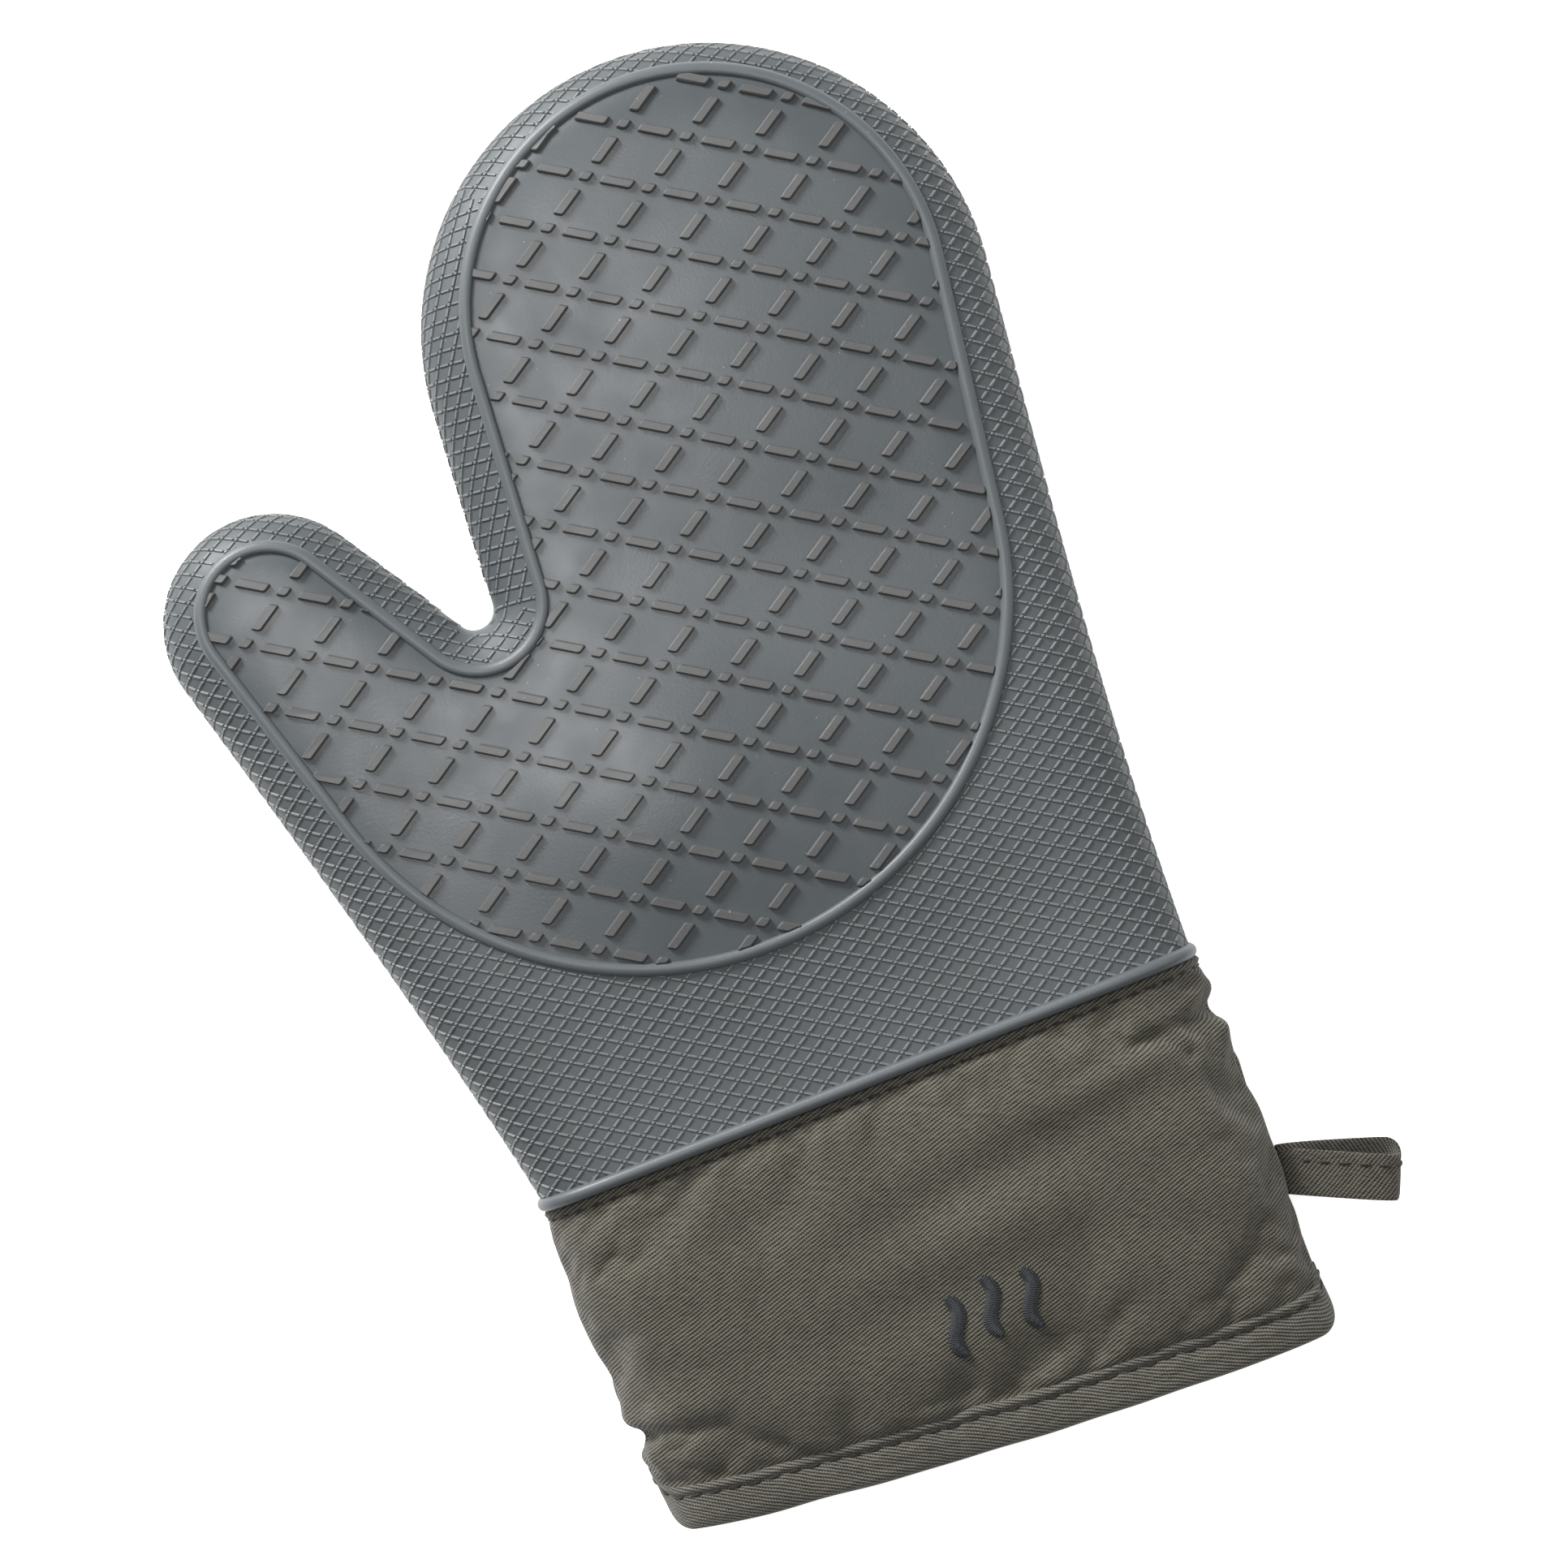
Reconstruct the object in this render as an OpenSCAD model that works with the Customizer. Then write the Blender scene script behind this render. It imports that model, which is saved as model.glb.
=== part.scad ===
// Oven mitt: a silicone hand over a padded cotton lining, with a padded cloth cuff.
// The mitt lies on its back, grip side up. X runs across the hand, towards the little
// finger side, Y runs from the mouth to the fingertips and Z is up. Outline points are
// measured from the middle of the mouth, and to_origin() then moves the whole mitt so
// that the origin is under the middle of its box.

/* [Hand] */
// Thickness of the hand
hand_h = 26; // [22:1:30]
// Radius of the fingertip dome
finger_r = 65.5; // [63:0.5:67]
// Sideways place of the middle of the fingers
finger_x = 28.5; // [26:0.5:30]
// Length from the mouth to the middle of the fingertip dome
finger_y = 264.5; // [258:0.5:270]
// Radius of the thumb tip
thumb_r = 25; // [23:0.5:27]
// Sideways place of the middle of the thumb tip
thumb_x = -88.5; // [-92:0.5:-86]
// Length from the mouth to the middle of the thumb tip
thumb_y = 238; // [234:0.5:242]

/* [Layers] */
// Thickness of the silicone
shell_t = 1.8; // [1.2:0.1:2.4]
// Thickness of the wadding
wadding_t = 3; // [2:0.1:3.5]
// Thickness of the lining
lining_t = 1.1; // [0.8:0.1:1.4]
// Gap between one layer and the next
layer_gap = 0.1; // [0.05:0.05:0.2]

/* [Grip panel] */
// Width of the raised bead round the panel
bead_w = 3.1; // [2.4:0.1:3.6]
// Height of that bead
bead_h = 1.1; // [0.6:0.1:1.4]
// Height of the grip bars and dots
bar_h = 0.9; // [0.5:0.1:1.2]
// Across one diamond of the grip pattern, along X
diamond_x = 24.5; // [22:0.5:27]
// Across one diamond of the grip pattern, along Y
diamond_y = 15.6; // [14:0.2:17]

/* [Cuff] */
// Width of the cuff
cuff_w = 160; // [156:1:162]
// Thickness of the cuff, flat
cuff_h = 24; // [20:0.5:24]
// Length from the mouth to the wrist edge of the silicone
wrist_y = 90.8; // [86:0.2:95]
// How much further up the thumb side of the mouth is cut
mouth_slant = 12; // [6:0.5:14]
// Depth of the binding band round the mouth
band_d = 10.5; // [8:0.5:13]
// Thickness of the binding cloth
band_t = 1; // [0.6:0.1:1]
// Thickness of the wrist bead
wrist_bead = 3.2; // [2.4:0.1:4]

/* [Hanging loop] */
// Width of the loop tape
tape_w = 10.7; // [9:0.1:13]
// Thickness of the loop tape
tape_t = 1; // [0.8:0.1:1.4]
// Length of the loop out of its seam
loop_l = 22; // [19:0.5:26]
// Half the height of the loop
loop_bulge = 4.6; // [4:0.1:5.5]

/* [Joints] */
// Most that the fingers bend, in degrees
finger_bend = 60; // [20:5:70]
// Most that the thumb bends, in degrees
thumb_bend = 50; // [20:5:60]
// Most that the cuff folds, in degrees
cuff_fold = 35; // [15:5:40]
// Height of the finger and thumb creases
crease_z = 18; // [16:0.5:20]
// Height of the cuff crease
cuff_crease_z = 22; // [20:0.5:23]
// Gap on each side of a crease
crease_gap = 0.3; // [0.2:0.1:0.5]

/* [Hidden] */

far = 400;
edge_r = hand_h / 2;
cuff_edge_r = cuff_h / 2;
cuff_lift = band_t;
thread_r = 0.35;

// Depths of the layers of the hand, below its outer face
wadding_d = shell_t + layer_gap;
lining_d = wadding_d + wadding_t + layer_gap;
pocket_d = lining_d + lining_t;
// Depths of the layers of the cuff, below its outer face
cover_t = 1;
cuff_wadding_d = cover_t + layer_gap;
cuff_lining_d = cuff_wadding_d + wadding_t + layer_gap;
cuff_pocket_d = cuff_lining_d + lining_t;

// The crotch between the thumb and the fingers, and the two creases that meet there
crotch = [-45, 219.5];
thumb_heading = 38;
// Middles of the round corners that each part of the hand is drawn round
palm_corners = [[-63, 80], [64.5, 80], [78, 235], [-100.5, 232]];
finger_corners = [[-29.3, 205], [74.7, 205]];
thumb_corners = [[-82, 163], [-45, 193]];

// The hanging loop leaves the side seam here, heading down and outwards
loop_root = [84, 36];
loop_heading = -22;
loop_z = 11;
loop_root_r = 1.4;
loop_end_r = 1.2;

// The whole box, which the origin is under the middle of
box_left = thumb_x - thumb_r;
box_right = loop_root.x + loop_l * cos(loop_heading) - tape_w / 2 * sin(loop_heading) + loop_end_r;
box_top = finger_y + finger_r;

module to_origin()
    translate([-(box_left + box_right) / 2, -box_top / 2, 0])
    children();

// A disc with a half-round rim, drawn depth inside its outer face
module puck(middle, r, h, depth, lift = 0) {
    rim = h / 2 - depth;
    core = r - h / 2;
    translate([middle.x, middle.y, depth + lift])
        rotate_extrude($fn = core > 20 ? 56 : 32)
        intersection() {
            union() {
                translate([core, rim]) circle(rim, $fn = 24);
                if (core > 0) square([core, 2 * rim]);
            }
            square([core + rim, 2 * rim]);
        }
}

module palm_form(depth)
    hull()
    for (p = palm_corners) puck(p, edge_r, hand_h, depth);

module finger_form(depth)
    hull() {
        puck([finger_x, finger_y], finger_r, hand_h, depth);
        for (p = finger_corners) puck(p, edge_r, hand_h, depth);
    }

module thumb_form(depth)
    hull() {
        puck([thumb_x, thumb_y], thumb_r, hand_h, depth);
        for (p = thumb_corners) puck(p, edge_r, hand_h, depth);
    }

module cuff_form(depth)
    hull()
    for (x = [-1, 1], y = [-20, wrist_y + 10])
        puck([x * (cuff_w / 2 - cuff_edge_r), y], cuff_edge_r, cuff_h, depth, cuff_lift);

// All the space on one side of a crease: side 1 is past it and -1 is before it. Above the
// hinge height the face leans back, which leaves the notch that closes as the joint bends.
module past_crease(start, heading, side, hinge_z, lean) {
    top = 2 * hand_h;
    back = crease_gap + (top - hinge_z) * tan(lean);
    translate([start.x, start.y, 0])
        rotate([0, 0, heading])
        rotate([90, 0, 90])
        translate([0, 0, -far])
        linear_extrude(2 * far)
        polygon([[side * crease_gap, -far], [side * crease_gap, hinge_z], [side * back, top],
            [side * far, top], [side * far, -far]]);
}

module palm_space()
    intersection() {
        past_crease(crotch, 0, -1, crease_z, finger_bend / 2);
        past_crease(crotch, thumb_heading, -1, crease_z, thumb_bend / 2);
        translate([-far, wrist_y, -far]) cube(2 * far);
        children();
    }

module finger_space()
    intersection() {
        translate([crotch.x, -far, -far]) cube(2 * far);
        past_crease(crotch, 0, 1, crease_z, finger_bend / 2);
        children();
    }

module thumb_space()
    intersection() {
        translate([crotch.x - 2 * far, -far, -far]) cube(2 * far);
        past_crease(crotch, thumb_heading, 1, crease_z, thumb_bend / 2);
        children();
    }

// The mouth's edge climbs towards the thumb side in one slow curve
function mouth_y(x) = mouth_slant * pow(max(0, (cuff_w / 2 - x) / cuff_w), 1.8);

// The plan of the cuff from a line parallel to the mouth up to the wrist
module above_mouth(rise)
    translate([0, 0, -1])
    linear_extrude(2 * hand_h)
    polygon(concat(
        [for (x = [-90:10:90]) [x, mouth_y(x) + rise]],
        [[90, wrist_y + 5], [-90, wrist_y + 5]]));

module cuff_space(rise)
    intersection() {
        past_crease([0, wrist_y - crease_gap], 0, -1, cuff_crease_z, cuff_fold);
        above_mouth(rise);
        children();
    }

// The upper or the lower half of a hollow layer, split at its side seams
module half_layer(upper, middle_z) {
    low = upper ? middle_z + layer_gap / 2 : -hand_h;
    high = upper ? 2 * hand_h : middle_z - layer_gap / 2;
    intersection() {
        translate([-far, -far, low]) cube([2 * far, 2 * far, high - low]);
        children();
    }
}

// ---- Grip panel ----
// The panel's outline keeps about 11 mm inside the edge of the hand. It is a strip up the
// fingers, a strip up the thumb and a round heel below them, cut back round the crotch.
panel_tip = [29.3, finger_y + 4.5];
panel_tip_r = finger_r - 11.5;
panel_knuckle = [23.5, 225];
panel_knuckle_r = 52;
panel_thumb = [thumb_x + 0.5, thumb_y + 2];
panel_thumb_r = thumb_r - 9.5;
panel_thumb_root = [-68.5, 197];
panel_thumb_root_r = 22;
panel_heel = [-9, 212.4];
panel_heel_r = 83.5;
panel_crotch = [-43.3, 224.8];
panel_crotch_r = 14.9;

// Two discs with the straight belt round them
module belt(p, p_r, q, q_r) {
    run = q - p;
    heading = atan2(run.y, run.x);
    turn = acos((p_r - q_r) / norm(run));
    left = [cos(heading + turn), sin(heading + turn)];
    right = [cos(heading - turn), sin(heading - turn)];
    translate(p) circle(p_r, $fn = 72);
    translate(q) circle(q_r, $fn = 72);
    polygon([p + p_r * left, q + q_r * left, q + q_r * right, p + p_r * right]);
}

module panel_area(inset)
    difference() {
        union() {
            belt(panel_tip, panel_tip_r - inset, panel_knuckle, panel_knuckle_r - inset);
            belt(panel_thumb, panel_thumb_r - inset, panel_thumb_root, panel_thumb_root_r - inset);
            intersection() {
                translate(panel_heel) circle(panel_heel_r - inset, $fn = 96);
                translate([-far, 214 - far]) square([2 * far, far]);
            }
            translate([panel_crotch.x, 200]) square([40, 26]);
        }
        translate(panel_crotch) circle(panel_crotch_r + inset, $fn = 72);
    }

module panel_bead()
    translate([0, 0, hand_h - 0.6])
    linear_extrude(0.6 + bead_h)
    difference() {
        panel_area(-bead_w / 2);
        panel_area(bead_w / 2);
    }

// One diamond side is six units long: a dot is one unit, and a bar is three
grip_a = [diamond_x, diamond_y] / 2;
grip_b = [diamond_x, -diamond_y] / 2;
grip_start = [3, 267];

module grip_mark(middle, along_a, along_b) {
    a = grip_a * along_a / 12;
    b = grip_b * along_b / 12;
    polygon([middle - a - b, middle + a - b, middle + a + b, middle - a + b]);
}

module grip_bars()
    translate([0, 0, hand_h - 0.4])
    linear_extrude(0.4 + bar_h)
    intersection() {
        panel_area(bead_w);
        for (i = [-14:8], j = [-10:14]) {
            middle = grip_start + grip_a * i + grip_b * j;
            if (middle.x > -112 && middle.x < 90 && middle.y > 122 && middle.y < 325) {
                grip_mark(middle, 1, 1);
                grip_mark(middle + grip_a / 2, 3, 1);
                grip_mark(middle + grip_b / 2, 1, 3);
            }
        }
    }

module stadium(w, h)
    union() {
        square([w - h, h], center = true);
        for (x = [-1, 1]) translate([x * (w - h) / 2, 0]) circle(h / 2, $fn = 48);
    }

// The bead round the wrist edge of the silicone, flat underneath where it rests
wrist_w = 158.6;
module wrist_ring()
    intersection() {
        translate([-0.3, wrist_y + wrist_bead, edge_r])
            rotate([90, 0, 0])
            linear_extrude(wrist_bead)
            difference() {
                stadium(wrist_w + wrist_bead, hand_h + wrist_bead);
                stadium(wrist_w - 2 * shell_t, hand_h - 2 * shell_t);
            }
        translate([-far, -far, 0]) cube(2 * far);
    }

// ---- Silicone ----
module palm_shell()
    color([0.39, 0.41, 0.41])
    to_origin()
    union() {
        palm_space() {
            union() {
                difference() {
                    palm_form(0);
                    palm_form(shell_t);
                }
                panel_bead();
                grip_bars();
            }
        }
        wrist_ring();
    }

module finger_shell()
    color([0.39, 0.41, 0.41])
    to_origin()
    finger_space()
    union() {
        difference() {
            finger_form(0);
            finger_form(shell_t);
        }
        panel_bead();
        grip_bars();
    }

module thumb_shell()
    color([0.39, 0.41, 0.41])
    to_origin()
    thumb_space()
    union() {
        difference() {
            thumb_form(0);
            thumb_form(shell_t);
        }
        panel_bead();
        grip_bars();
    }

// ---- Wadding and lining of the hand ----
module palm_layer(upper, from, to)
    to_origin()
    palm_space()
    half_layer(upper, edge_r)
    difference() {
        palm_form(from);
        palm_form(to);
    }

module finger_layer(upper, from, to)
    to_origin()
    finger_space()
    half_layer(upper, edge_r)
    difference() {
        finger_form(from);
        finger_form(to);
    }

module thumb_layer(upper, from, to)
    to_origin()
    thumb_space()
    half_layer(upper, edge_r)
    difference() {
        thumb_form(from);
        thumb_form(to);
    }

wadding_colour = [0.90, 0.89, 0.85];
lining_colour = [0.42, 0.40, 0.36];
cloth_colour = [0.33, 0.30, 0.25];

module palm_wadding_upper()
    color(wadding_colour)
    palm_layer(true, wadding_d, wadding_d + wadding_t);

module palm_wadding_lower()
    color(wadding_colour)
    palm_layer(false, wadding_d, wadding_d + wadding_t);

module palm_lining_upper()
    color(lining_colour)
    palm_layer(true, lining_d, pocket_d);

module palm_lining_lower()
    color(lining_colour)
    palm_layer(false, lining_d, pocket_d);

module finger_wadding_upper()
    color(wadding_colour)
    finger_layer(true, wadding_d, wadding_d + wadding_t);

module finger_wadding_lower()
    color(wadding_colour)
    finger_layer(false, wadding_d, wadding_d + wadding_t);

module finger_lining_upper()
    color(lining_colour)
    finger_layer(true, lining_d, pocket_d);

module finger_lining_lower()
    color(lining_colour)
    finger_layer(false, lining_d, pocket_d);

module thumb_wadding_upper()
    color(wadding_colour)
    thumb_layer(true, wadding_d, wadding_d + wadding_t);

module thumb_wadding_lower()
    color(wadding_colour)
    thumb_layer(false, wadding_d, wadding_d + wadding_t);

module thumb_lining_upper()
    color(lining_colour)
    thumb_layer(true, lining_d, pocket_d);

module thumb_lining_lower()
    color(lining_colour)
    thumb_layer(false, lining_d, pocket_d);

// ---- Cuff ----
module cuff_layer(upper, from, to)
    to_origin()
    cuff_space(band_t + layer_gap)
    half_layer(upper, cuff_lift + cuff_edge_r)
    difference() {
        cuff_form(from);
        cuff_form(to);
    }

module cuff_cover_upper()
    color(cloth_colour)
    cuff_layer(true, 0, cover_t);

module cuff_cover_lower()
    color(cloth_colour)
    cuff_layer(false, 0, cover_t);

module cuff_wadding_upper()
    color(wadding_colour)
    cuff_layer(true, cuff_wadding_d, cuff_wadding_d + wadding_t);

module cuff_wadding_lower()
    color(wadding_colour)
    cuff_layer(false, cuff_wadding_d, cuff_wadding_d + wadding_t);

module cuff_lining_upper()
    color(lining_colour)
    cuff_layer(true, cuff_lining_d, cuff_pocket_d);

module cuff_lining_lower()
    color(lining_colour)
    cuff_layer(false, cuff_lining_d, cuff_pocket_d);

// A strip folded round the mouth's edge, over the cover outside and the lining inside
module cuff_binding()
    color([0.31, 0.28, 0.23])
    to_origin()
    difference() {
        cuff_space(0) difference() {
            cuff_form(-band_t);
            cuff_form(cuff_pocket_d + layer_gap + band_t);
        }
        above_mouth(band_t) difference() {
            cuff_form(-layer_gap / 2);
            cuff_form(cuff_pocket_d + layer_gap / 2);
        }
        above_mouth(band_d) translate([-far, -far, -far]) cube(2 * far);
    }

// One stitch: a short thread lying along the cloth, half sunk in it
module stitch(start, end, z) {
    run = end - start;
    translate([start.x, start.y, z])
        rotate([0, 0, atan2(run.y, run.x)])
        rotate([0, 90, 0])
        cylinder(h = norm(run), r = thread_r, $fn = 16);
}

// Rows of stitches across both faces, at a height above the mouth that may follow it
module stitch_rows(pitch, length, z_low, z_high, follow, y0)
    for (x = [-66:pitch:66 - length], z = [z_low, z_high])
        stitch([x, y0 + follow * mouth_y(x)], [x + length, y0 + follow * mouth_y(x + length)], z);

module wrist_stitching()
    color([0.26, 0.24, 0.20])
    to_origin()
    stitch_rows(4.5, 3.2, cuff_lift, cuff_lift + cuff_h, 0, wrist_y - 4.2);

module binding_stitching()
    color([0.26, 0.24, 0.20])
    to_origin()
    stitch_rows(4.7, 3.3, thread_r, cuff_h + 2 * cuff_lift, 1, band_d - 1.6);

// Three lines of rising steam, worked in satin stitch
motif_middle = [7, 35];
motif_pitch = 9;
motif_l = 13;
motif_w = 2.6;
motif_wave = 1.5;

function steam_x(t) = motif_wave * sin(360 * t);

module embroidered_motif()
    color([0.25, 0.26, 0.27])
    to_origin()
    for (i = [-1, 0, 1])
        translate([motif_middle.x + i * motif_pitch, motif_middle.y + abs(i) * -1.5, cuff_lift + cuff_h - 0.1])
        linear_extrude(0.7)
        polygon(concat(
            [for (t = [0:0.05:1]) [steam_x(t) - motif_w / 2, (t - 0.5) * motif_l]],
            [for (t = [1:-0.05:0]) [steam_x(t) + motif_w / 2, (t - 0.5) * motif_l]]));

// ---- Hanging loop ----
// A tape folded in two, whose halves bow apart: two arcs that meet at the seam and the fold
loop_arc_r = (loop_l * loop_l / 4 + loop_bulge * loop_bulge) / (2 * loop_bulge);

module loop_lens(inset)
    intersection_for (side = [-1, 1])
        translate([loop_l / 2, side * (loop_arc_r - loop_bulge)])
        circle(loop_arc_r - inset, $fn = 96);

module at_loop()
    translate([loop_root.x, loop_root.y, loop_z])
    rotate([0, 0, loop_heading])
    children();

module hanging_loop()
    color([0.32, 0.29, 0.24])
    to_origin()
    at_loop()
    rotate([90, 0, 0])
    translate([0, 0, -tape_w / 2])
    linear_extrude(tape_w)
    difference() {
        union() {
            loop_lens(0);
            circle(loop_root_r, $fn = 32);
            translate([loop_l, 0]) circle(loop_end_r, $fn = 32);
        }
        loop_lens(tape_t);
    }

// Stitches along the tape's upper edge, a little in from it, on its outer face
module loop_stitching()
    color([0.26, 0.24, 0.20])
    to_origin()
    at_loop()
    for (x = [3:4.7:loop_l - 5]) {
        z = sqrt(pow(loop_arc_r, 2) - pow(x + 1.6 - loop_l / 2, 2)) - loop_arc_r + loop_bulge;
        tilt = asin((x + 1.6 - loop_l / 2) / loop_arc_r);
        translate([x + 1.6, tape_w / 2 - 2.6, z])
            rotate([0, tilt, 0])
            translate([-1.6, 0, 0])
            rotate([0, 90, 0])
            cylinder(h = 3.2, r = thread_r, $fn = 16);
    }

palm_shell();
finger_shell();
thumb_shell();
palm_wadding_upper();
palm_wadding_lower();
palm_lining_upper();
palm_lining_lower();
finger_wadding_upper();
finger_wadding_lower();
finger_lining_upper();
finger_lining_lower();
thumb_wadding_upper();
thumb_wadding_lower();
thumb_lining_upper();
thumb_lining_lower();
cuff_cover_upper();
cuff_cover_lower();
cuff_wadding_upper();
cuff_wadding_lower();
cuff_lining_upper();
cuff_lining_lower();
cuff_binding();
wrist_stitching();
binding_stitching();
embroidered_motif();
hanging_loop();
loop_stitching();
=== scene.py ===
import math

import bpy
import numpy as np
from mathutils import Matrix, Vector
from mathutils.geometry import delaunay_2d_cdt
from mathutils.kdtree import KDTree


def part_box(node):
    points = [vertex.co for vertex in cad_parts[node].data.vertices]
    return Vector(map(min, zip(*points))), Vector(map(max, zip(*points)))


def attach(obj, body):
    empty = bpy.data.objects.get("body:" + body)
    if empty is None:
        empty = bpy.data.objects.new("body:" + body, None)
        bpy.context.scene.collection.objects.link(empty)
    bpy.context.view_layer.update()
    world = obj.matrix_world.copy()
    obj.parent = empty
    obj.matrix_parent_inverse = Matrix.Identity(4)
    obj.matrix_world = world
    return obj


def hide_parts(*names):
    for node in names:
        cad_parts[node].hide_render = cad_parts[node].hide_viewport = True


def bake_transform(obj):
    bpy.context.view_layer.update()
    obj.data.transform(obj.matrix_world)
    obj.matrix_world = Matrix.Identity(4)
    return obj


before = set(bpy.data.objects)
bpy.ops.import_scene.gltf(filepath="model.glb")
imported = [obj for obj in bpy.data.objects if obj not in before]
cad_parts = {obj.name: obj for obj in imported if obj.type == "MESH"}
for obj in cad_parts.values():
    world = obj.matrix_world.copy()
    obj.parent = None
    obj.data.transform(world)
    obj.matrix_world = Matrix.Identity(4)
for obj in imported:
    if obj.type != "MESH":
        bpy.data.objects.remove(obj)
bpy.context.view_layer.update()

# Everything below is measured in millimetres from the middle of the mouth: X across the
# hand, Y towards the fingertips, Z up from the surface that the mitt lies on. row() turns
# that into the row frame, in metres. The two offsets come from the CAD nodes themselves.
MM = 0.001
THUMB_REACH = 113.5
OFFSET = np.array([
    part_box("thumb_shell")[0].x / MM + THUMB_REACH,
    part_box("cuff_binding")[0].y / MM,
    0.0,
])


def row(points):
    return (np.asarray(points, float) + OFFSET) * MM


# ---- Camera ----
TURN = math.radians(21.5)
FRAME_WIDTH = 359.4
LENS, SENSOR = 100.0, 36.0
MID_Z = 13.0


def placed(name, data):
    """A new object in the scene."""
    obj = bpy.data.objects.new(name, data)
    bpy.context.scene.collection.objects.link(obj)
    return obj


def make_camera():
    data = bpy.data.cameras.new("camera")
    data.lens, data.sensor_width = LENS, SENSOR
    data.clip_start, data.clip_end = 0.05, 20
    cam = placed("camera", data)
    cam.location = row([6.56, 161.7, MID_Z + FRAME_WIDTH * LENS / SENSOR])
    cam.rotation_euler = (0, 0, -TURN)
    bpy.context.scene.camera = cam


make_camera()


# ---- Materials ----
def linear(r, g, b):
    """A colour from its 0-255 screen values."""
    return tuple(((c / 255 + 0.055) / 1.055) ** 2.4 for c in (r, g, b)) + (1.0,)


class Nodes:
    """A material whose nodes are added one call at a time."""

    def __init__(self, name):
        self.material = bpy.data.materials.new(name)
        self.material.use_nodes = True
        self.tree = self.material.node_tree
        self.bsdf = self.tree.nodes["Principled BSDF"]
        self.uv = self.add("ShaderNodeUVMap").outputs["UV"]

    def put(self, socket, value):
        if isinstance(value, bpy.types.NodeSocket):
            self.tree.links.new(value, socket)
        else:
            socket.default_value = value

    def add(self, kind, settings=None, inputs=None):
        node = self.tree.nodes.new(kind)
        for key, value in (settings or {}).items():
            setattr(node, key, value)
        for key, value in (inputs or {}).items():
            self.put(node.inputs[key], value)
        return node

    def math(self, operation, a, b=0.0, c=0.0):
        node = self.add("ShaderNodeMath", {"operation": operation})
        for socket, value in zip(node.inputs, (a, b, c)):
            self.put(socket, value)
        return node.outputs[0]

    def times(self, a, b):
        return self.math("MULTIPLY", a, b)

    def plus(self, a, b):
        return self.math("ADD", a, b)

    def wave(self, value, length):
        return self.math("SINE", self.times(value, 2 * math.pi / length))

    def stretched(self, angle, scale):
        """The UV map turned by an angle and scaled, for streaks and ribs."""
        node = self.add("ShaderNodeMapping", inputs={
            "Vector": self.uv, "Rotation": (0, 0, angle), "Scale": (scale[0], scale[1], 1)})
        return node.outputs["Vector"]

    def noise(self, scale, detail=2.0, vector=None, rough=0.5):
        node = self.add("ShaderNodeTexNoise", inputs={
            "Vector": vector or self.uv, "Scale": scale, "Detail": detail, "Roughness": rough})
        return node.outputs[0]

    def fit(self, value, low, high, start=0.0, end=1.0):
        node = self.add("ShaderNodeMapRange", inputs={
            "Value": value, "From Min": start, "From Max": end, "To Min": low, "To Max": high})
        return node.outputs[0]

    def mix(self, share, a, b, kind="MIX"):
        node = self.add("ShaderNodeMix", {"data_type": "RGBA", "blend_type": kind})
        self.put(node.inputs[0], share)
        self.put(node.inputs[6], a)
        self.put(node.inputs[7], b)
        return node.outputs[2]

    def bump(self, height, distance_mm, normal=None):
        inputs = {"Height": height, "Distance": distance_mm * MM, "Strength": 1.0}
        if normal is not None:
            inputs["Normal"] = normal
        return self.add("ShaderNodeBump", inputs=inputs).outputs[0]

    def finish(self, colour, roughness, normal=None, **constants):
        self.put(self.bsdf.inputs["Base Color"], colour)
        self.put(self.bsdf.inputs["Roughness"], roughness)
        if normal is not None:
            self.put(self.bsdf.inputs["Normal"], normal)
        for key, value in constants.items():
            self.bsdf.inputs[key.replace("_", " ")].default_value = value
        return self.material


# A UV unit is a millimetre on every piece, so a noise scale of 1 has features 1 mm across.

# The mould's finish is duller outside the panel. A mesh attribute holds its share, 0 to 1.
MATT = "matt"
MATT_ROUGHNESS = 0.19
DUST = linear(176, 178, 178)


def silicone(name, colour, gloss):
    """Moulded silicone: satin, a little uneven in gloss, with a fine skin and a few specks of dust."""
    n = Nodes(name)
    cloud = n.fit(n.noise(0.03, 3.0), 0.0, 1.0, 0.3, 0.7)
    tint = n.mix(cloud, linear(*[c - 3 for c in colour]), linear(*[c + 3 for c in colour]))
    fleck = n.add("ShaderNodeTexVoronoi", {"feature": "F1"}, {"Vector": n.uv, "Scale": 0.32})
    speck = n.math("LESS_THAN", fleck.outputs["Distance"], 0.045)
    chosen = n.math("GREATER_THAN", n.noise(0.11, 0.0), 0.54)
    dust = n.times(n.times(speck, chosen), 0.5)
    tint = n.mix(dust, tint, DUST)
    skin = n.noise(1.4, 3.0, rough=0.6)
    shine = n.fit(n.noise(0.09, 4.0), gloss - 0.05, gloss + 0.07, 0.3, 0.7)
    matt = n.add("ShaderNodeAttribute", {"attribute_name": MATT})
    shine = n.math("MULTIPLY_ADD", matt.outputs["Fac"], MATT_ROUGHNESS, shine)
    return n.finish(tint, shine, n.bump(skin, 0.035), Specular_IOR_Level=0.5)


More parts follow.
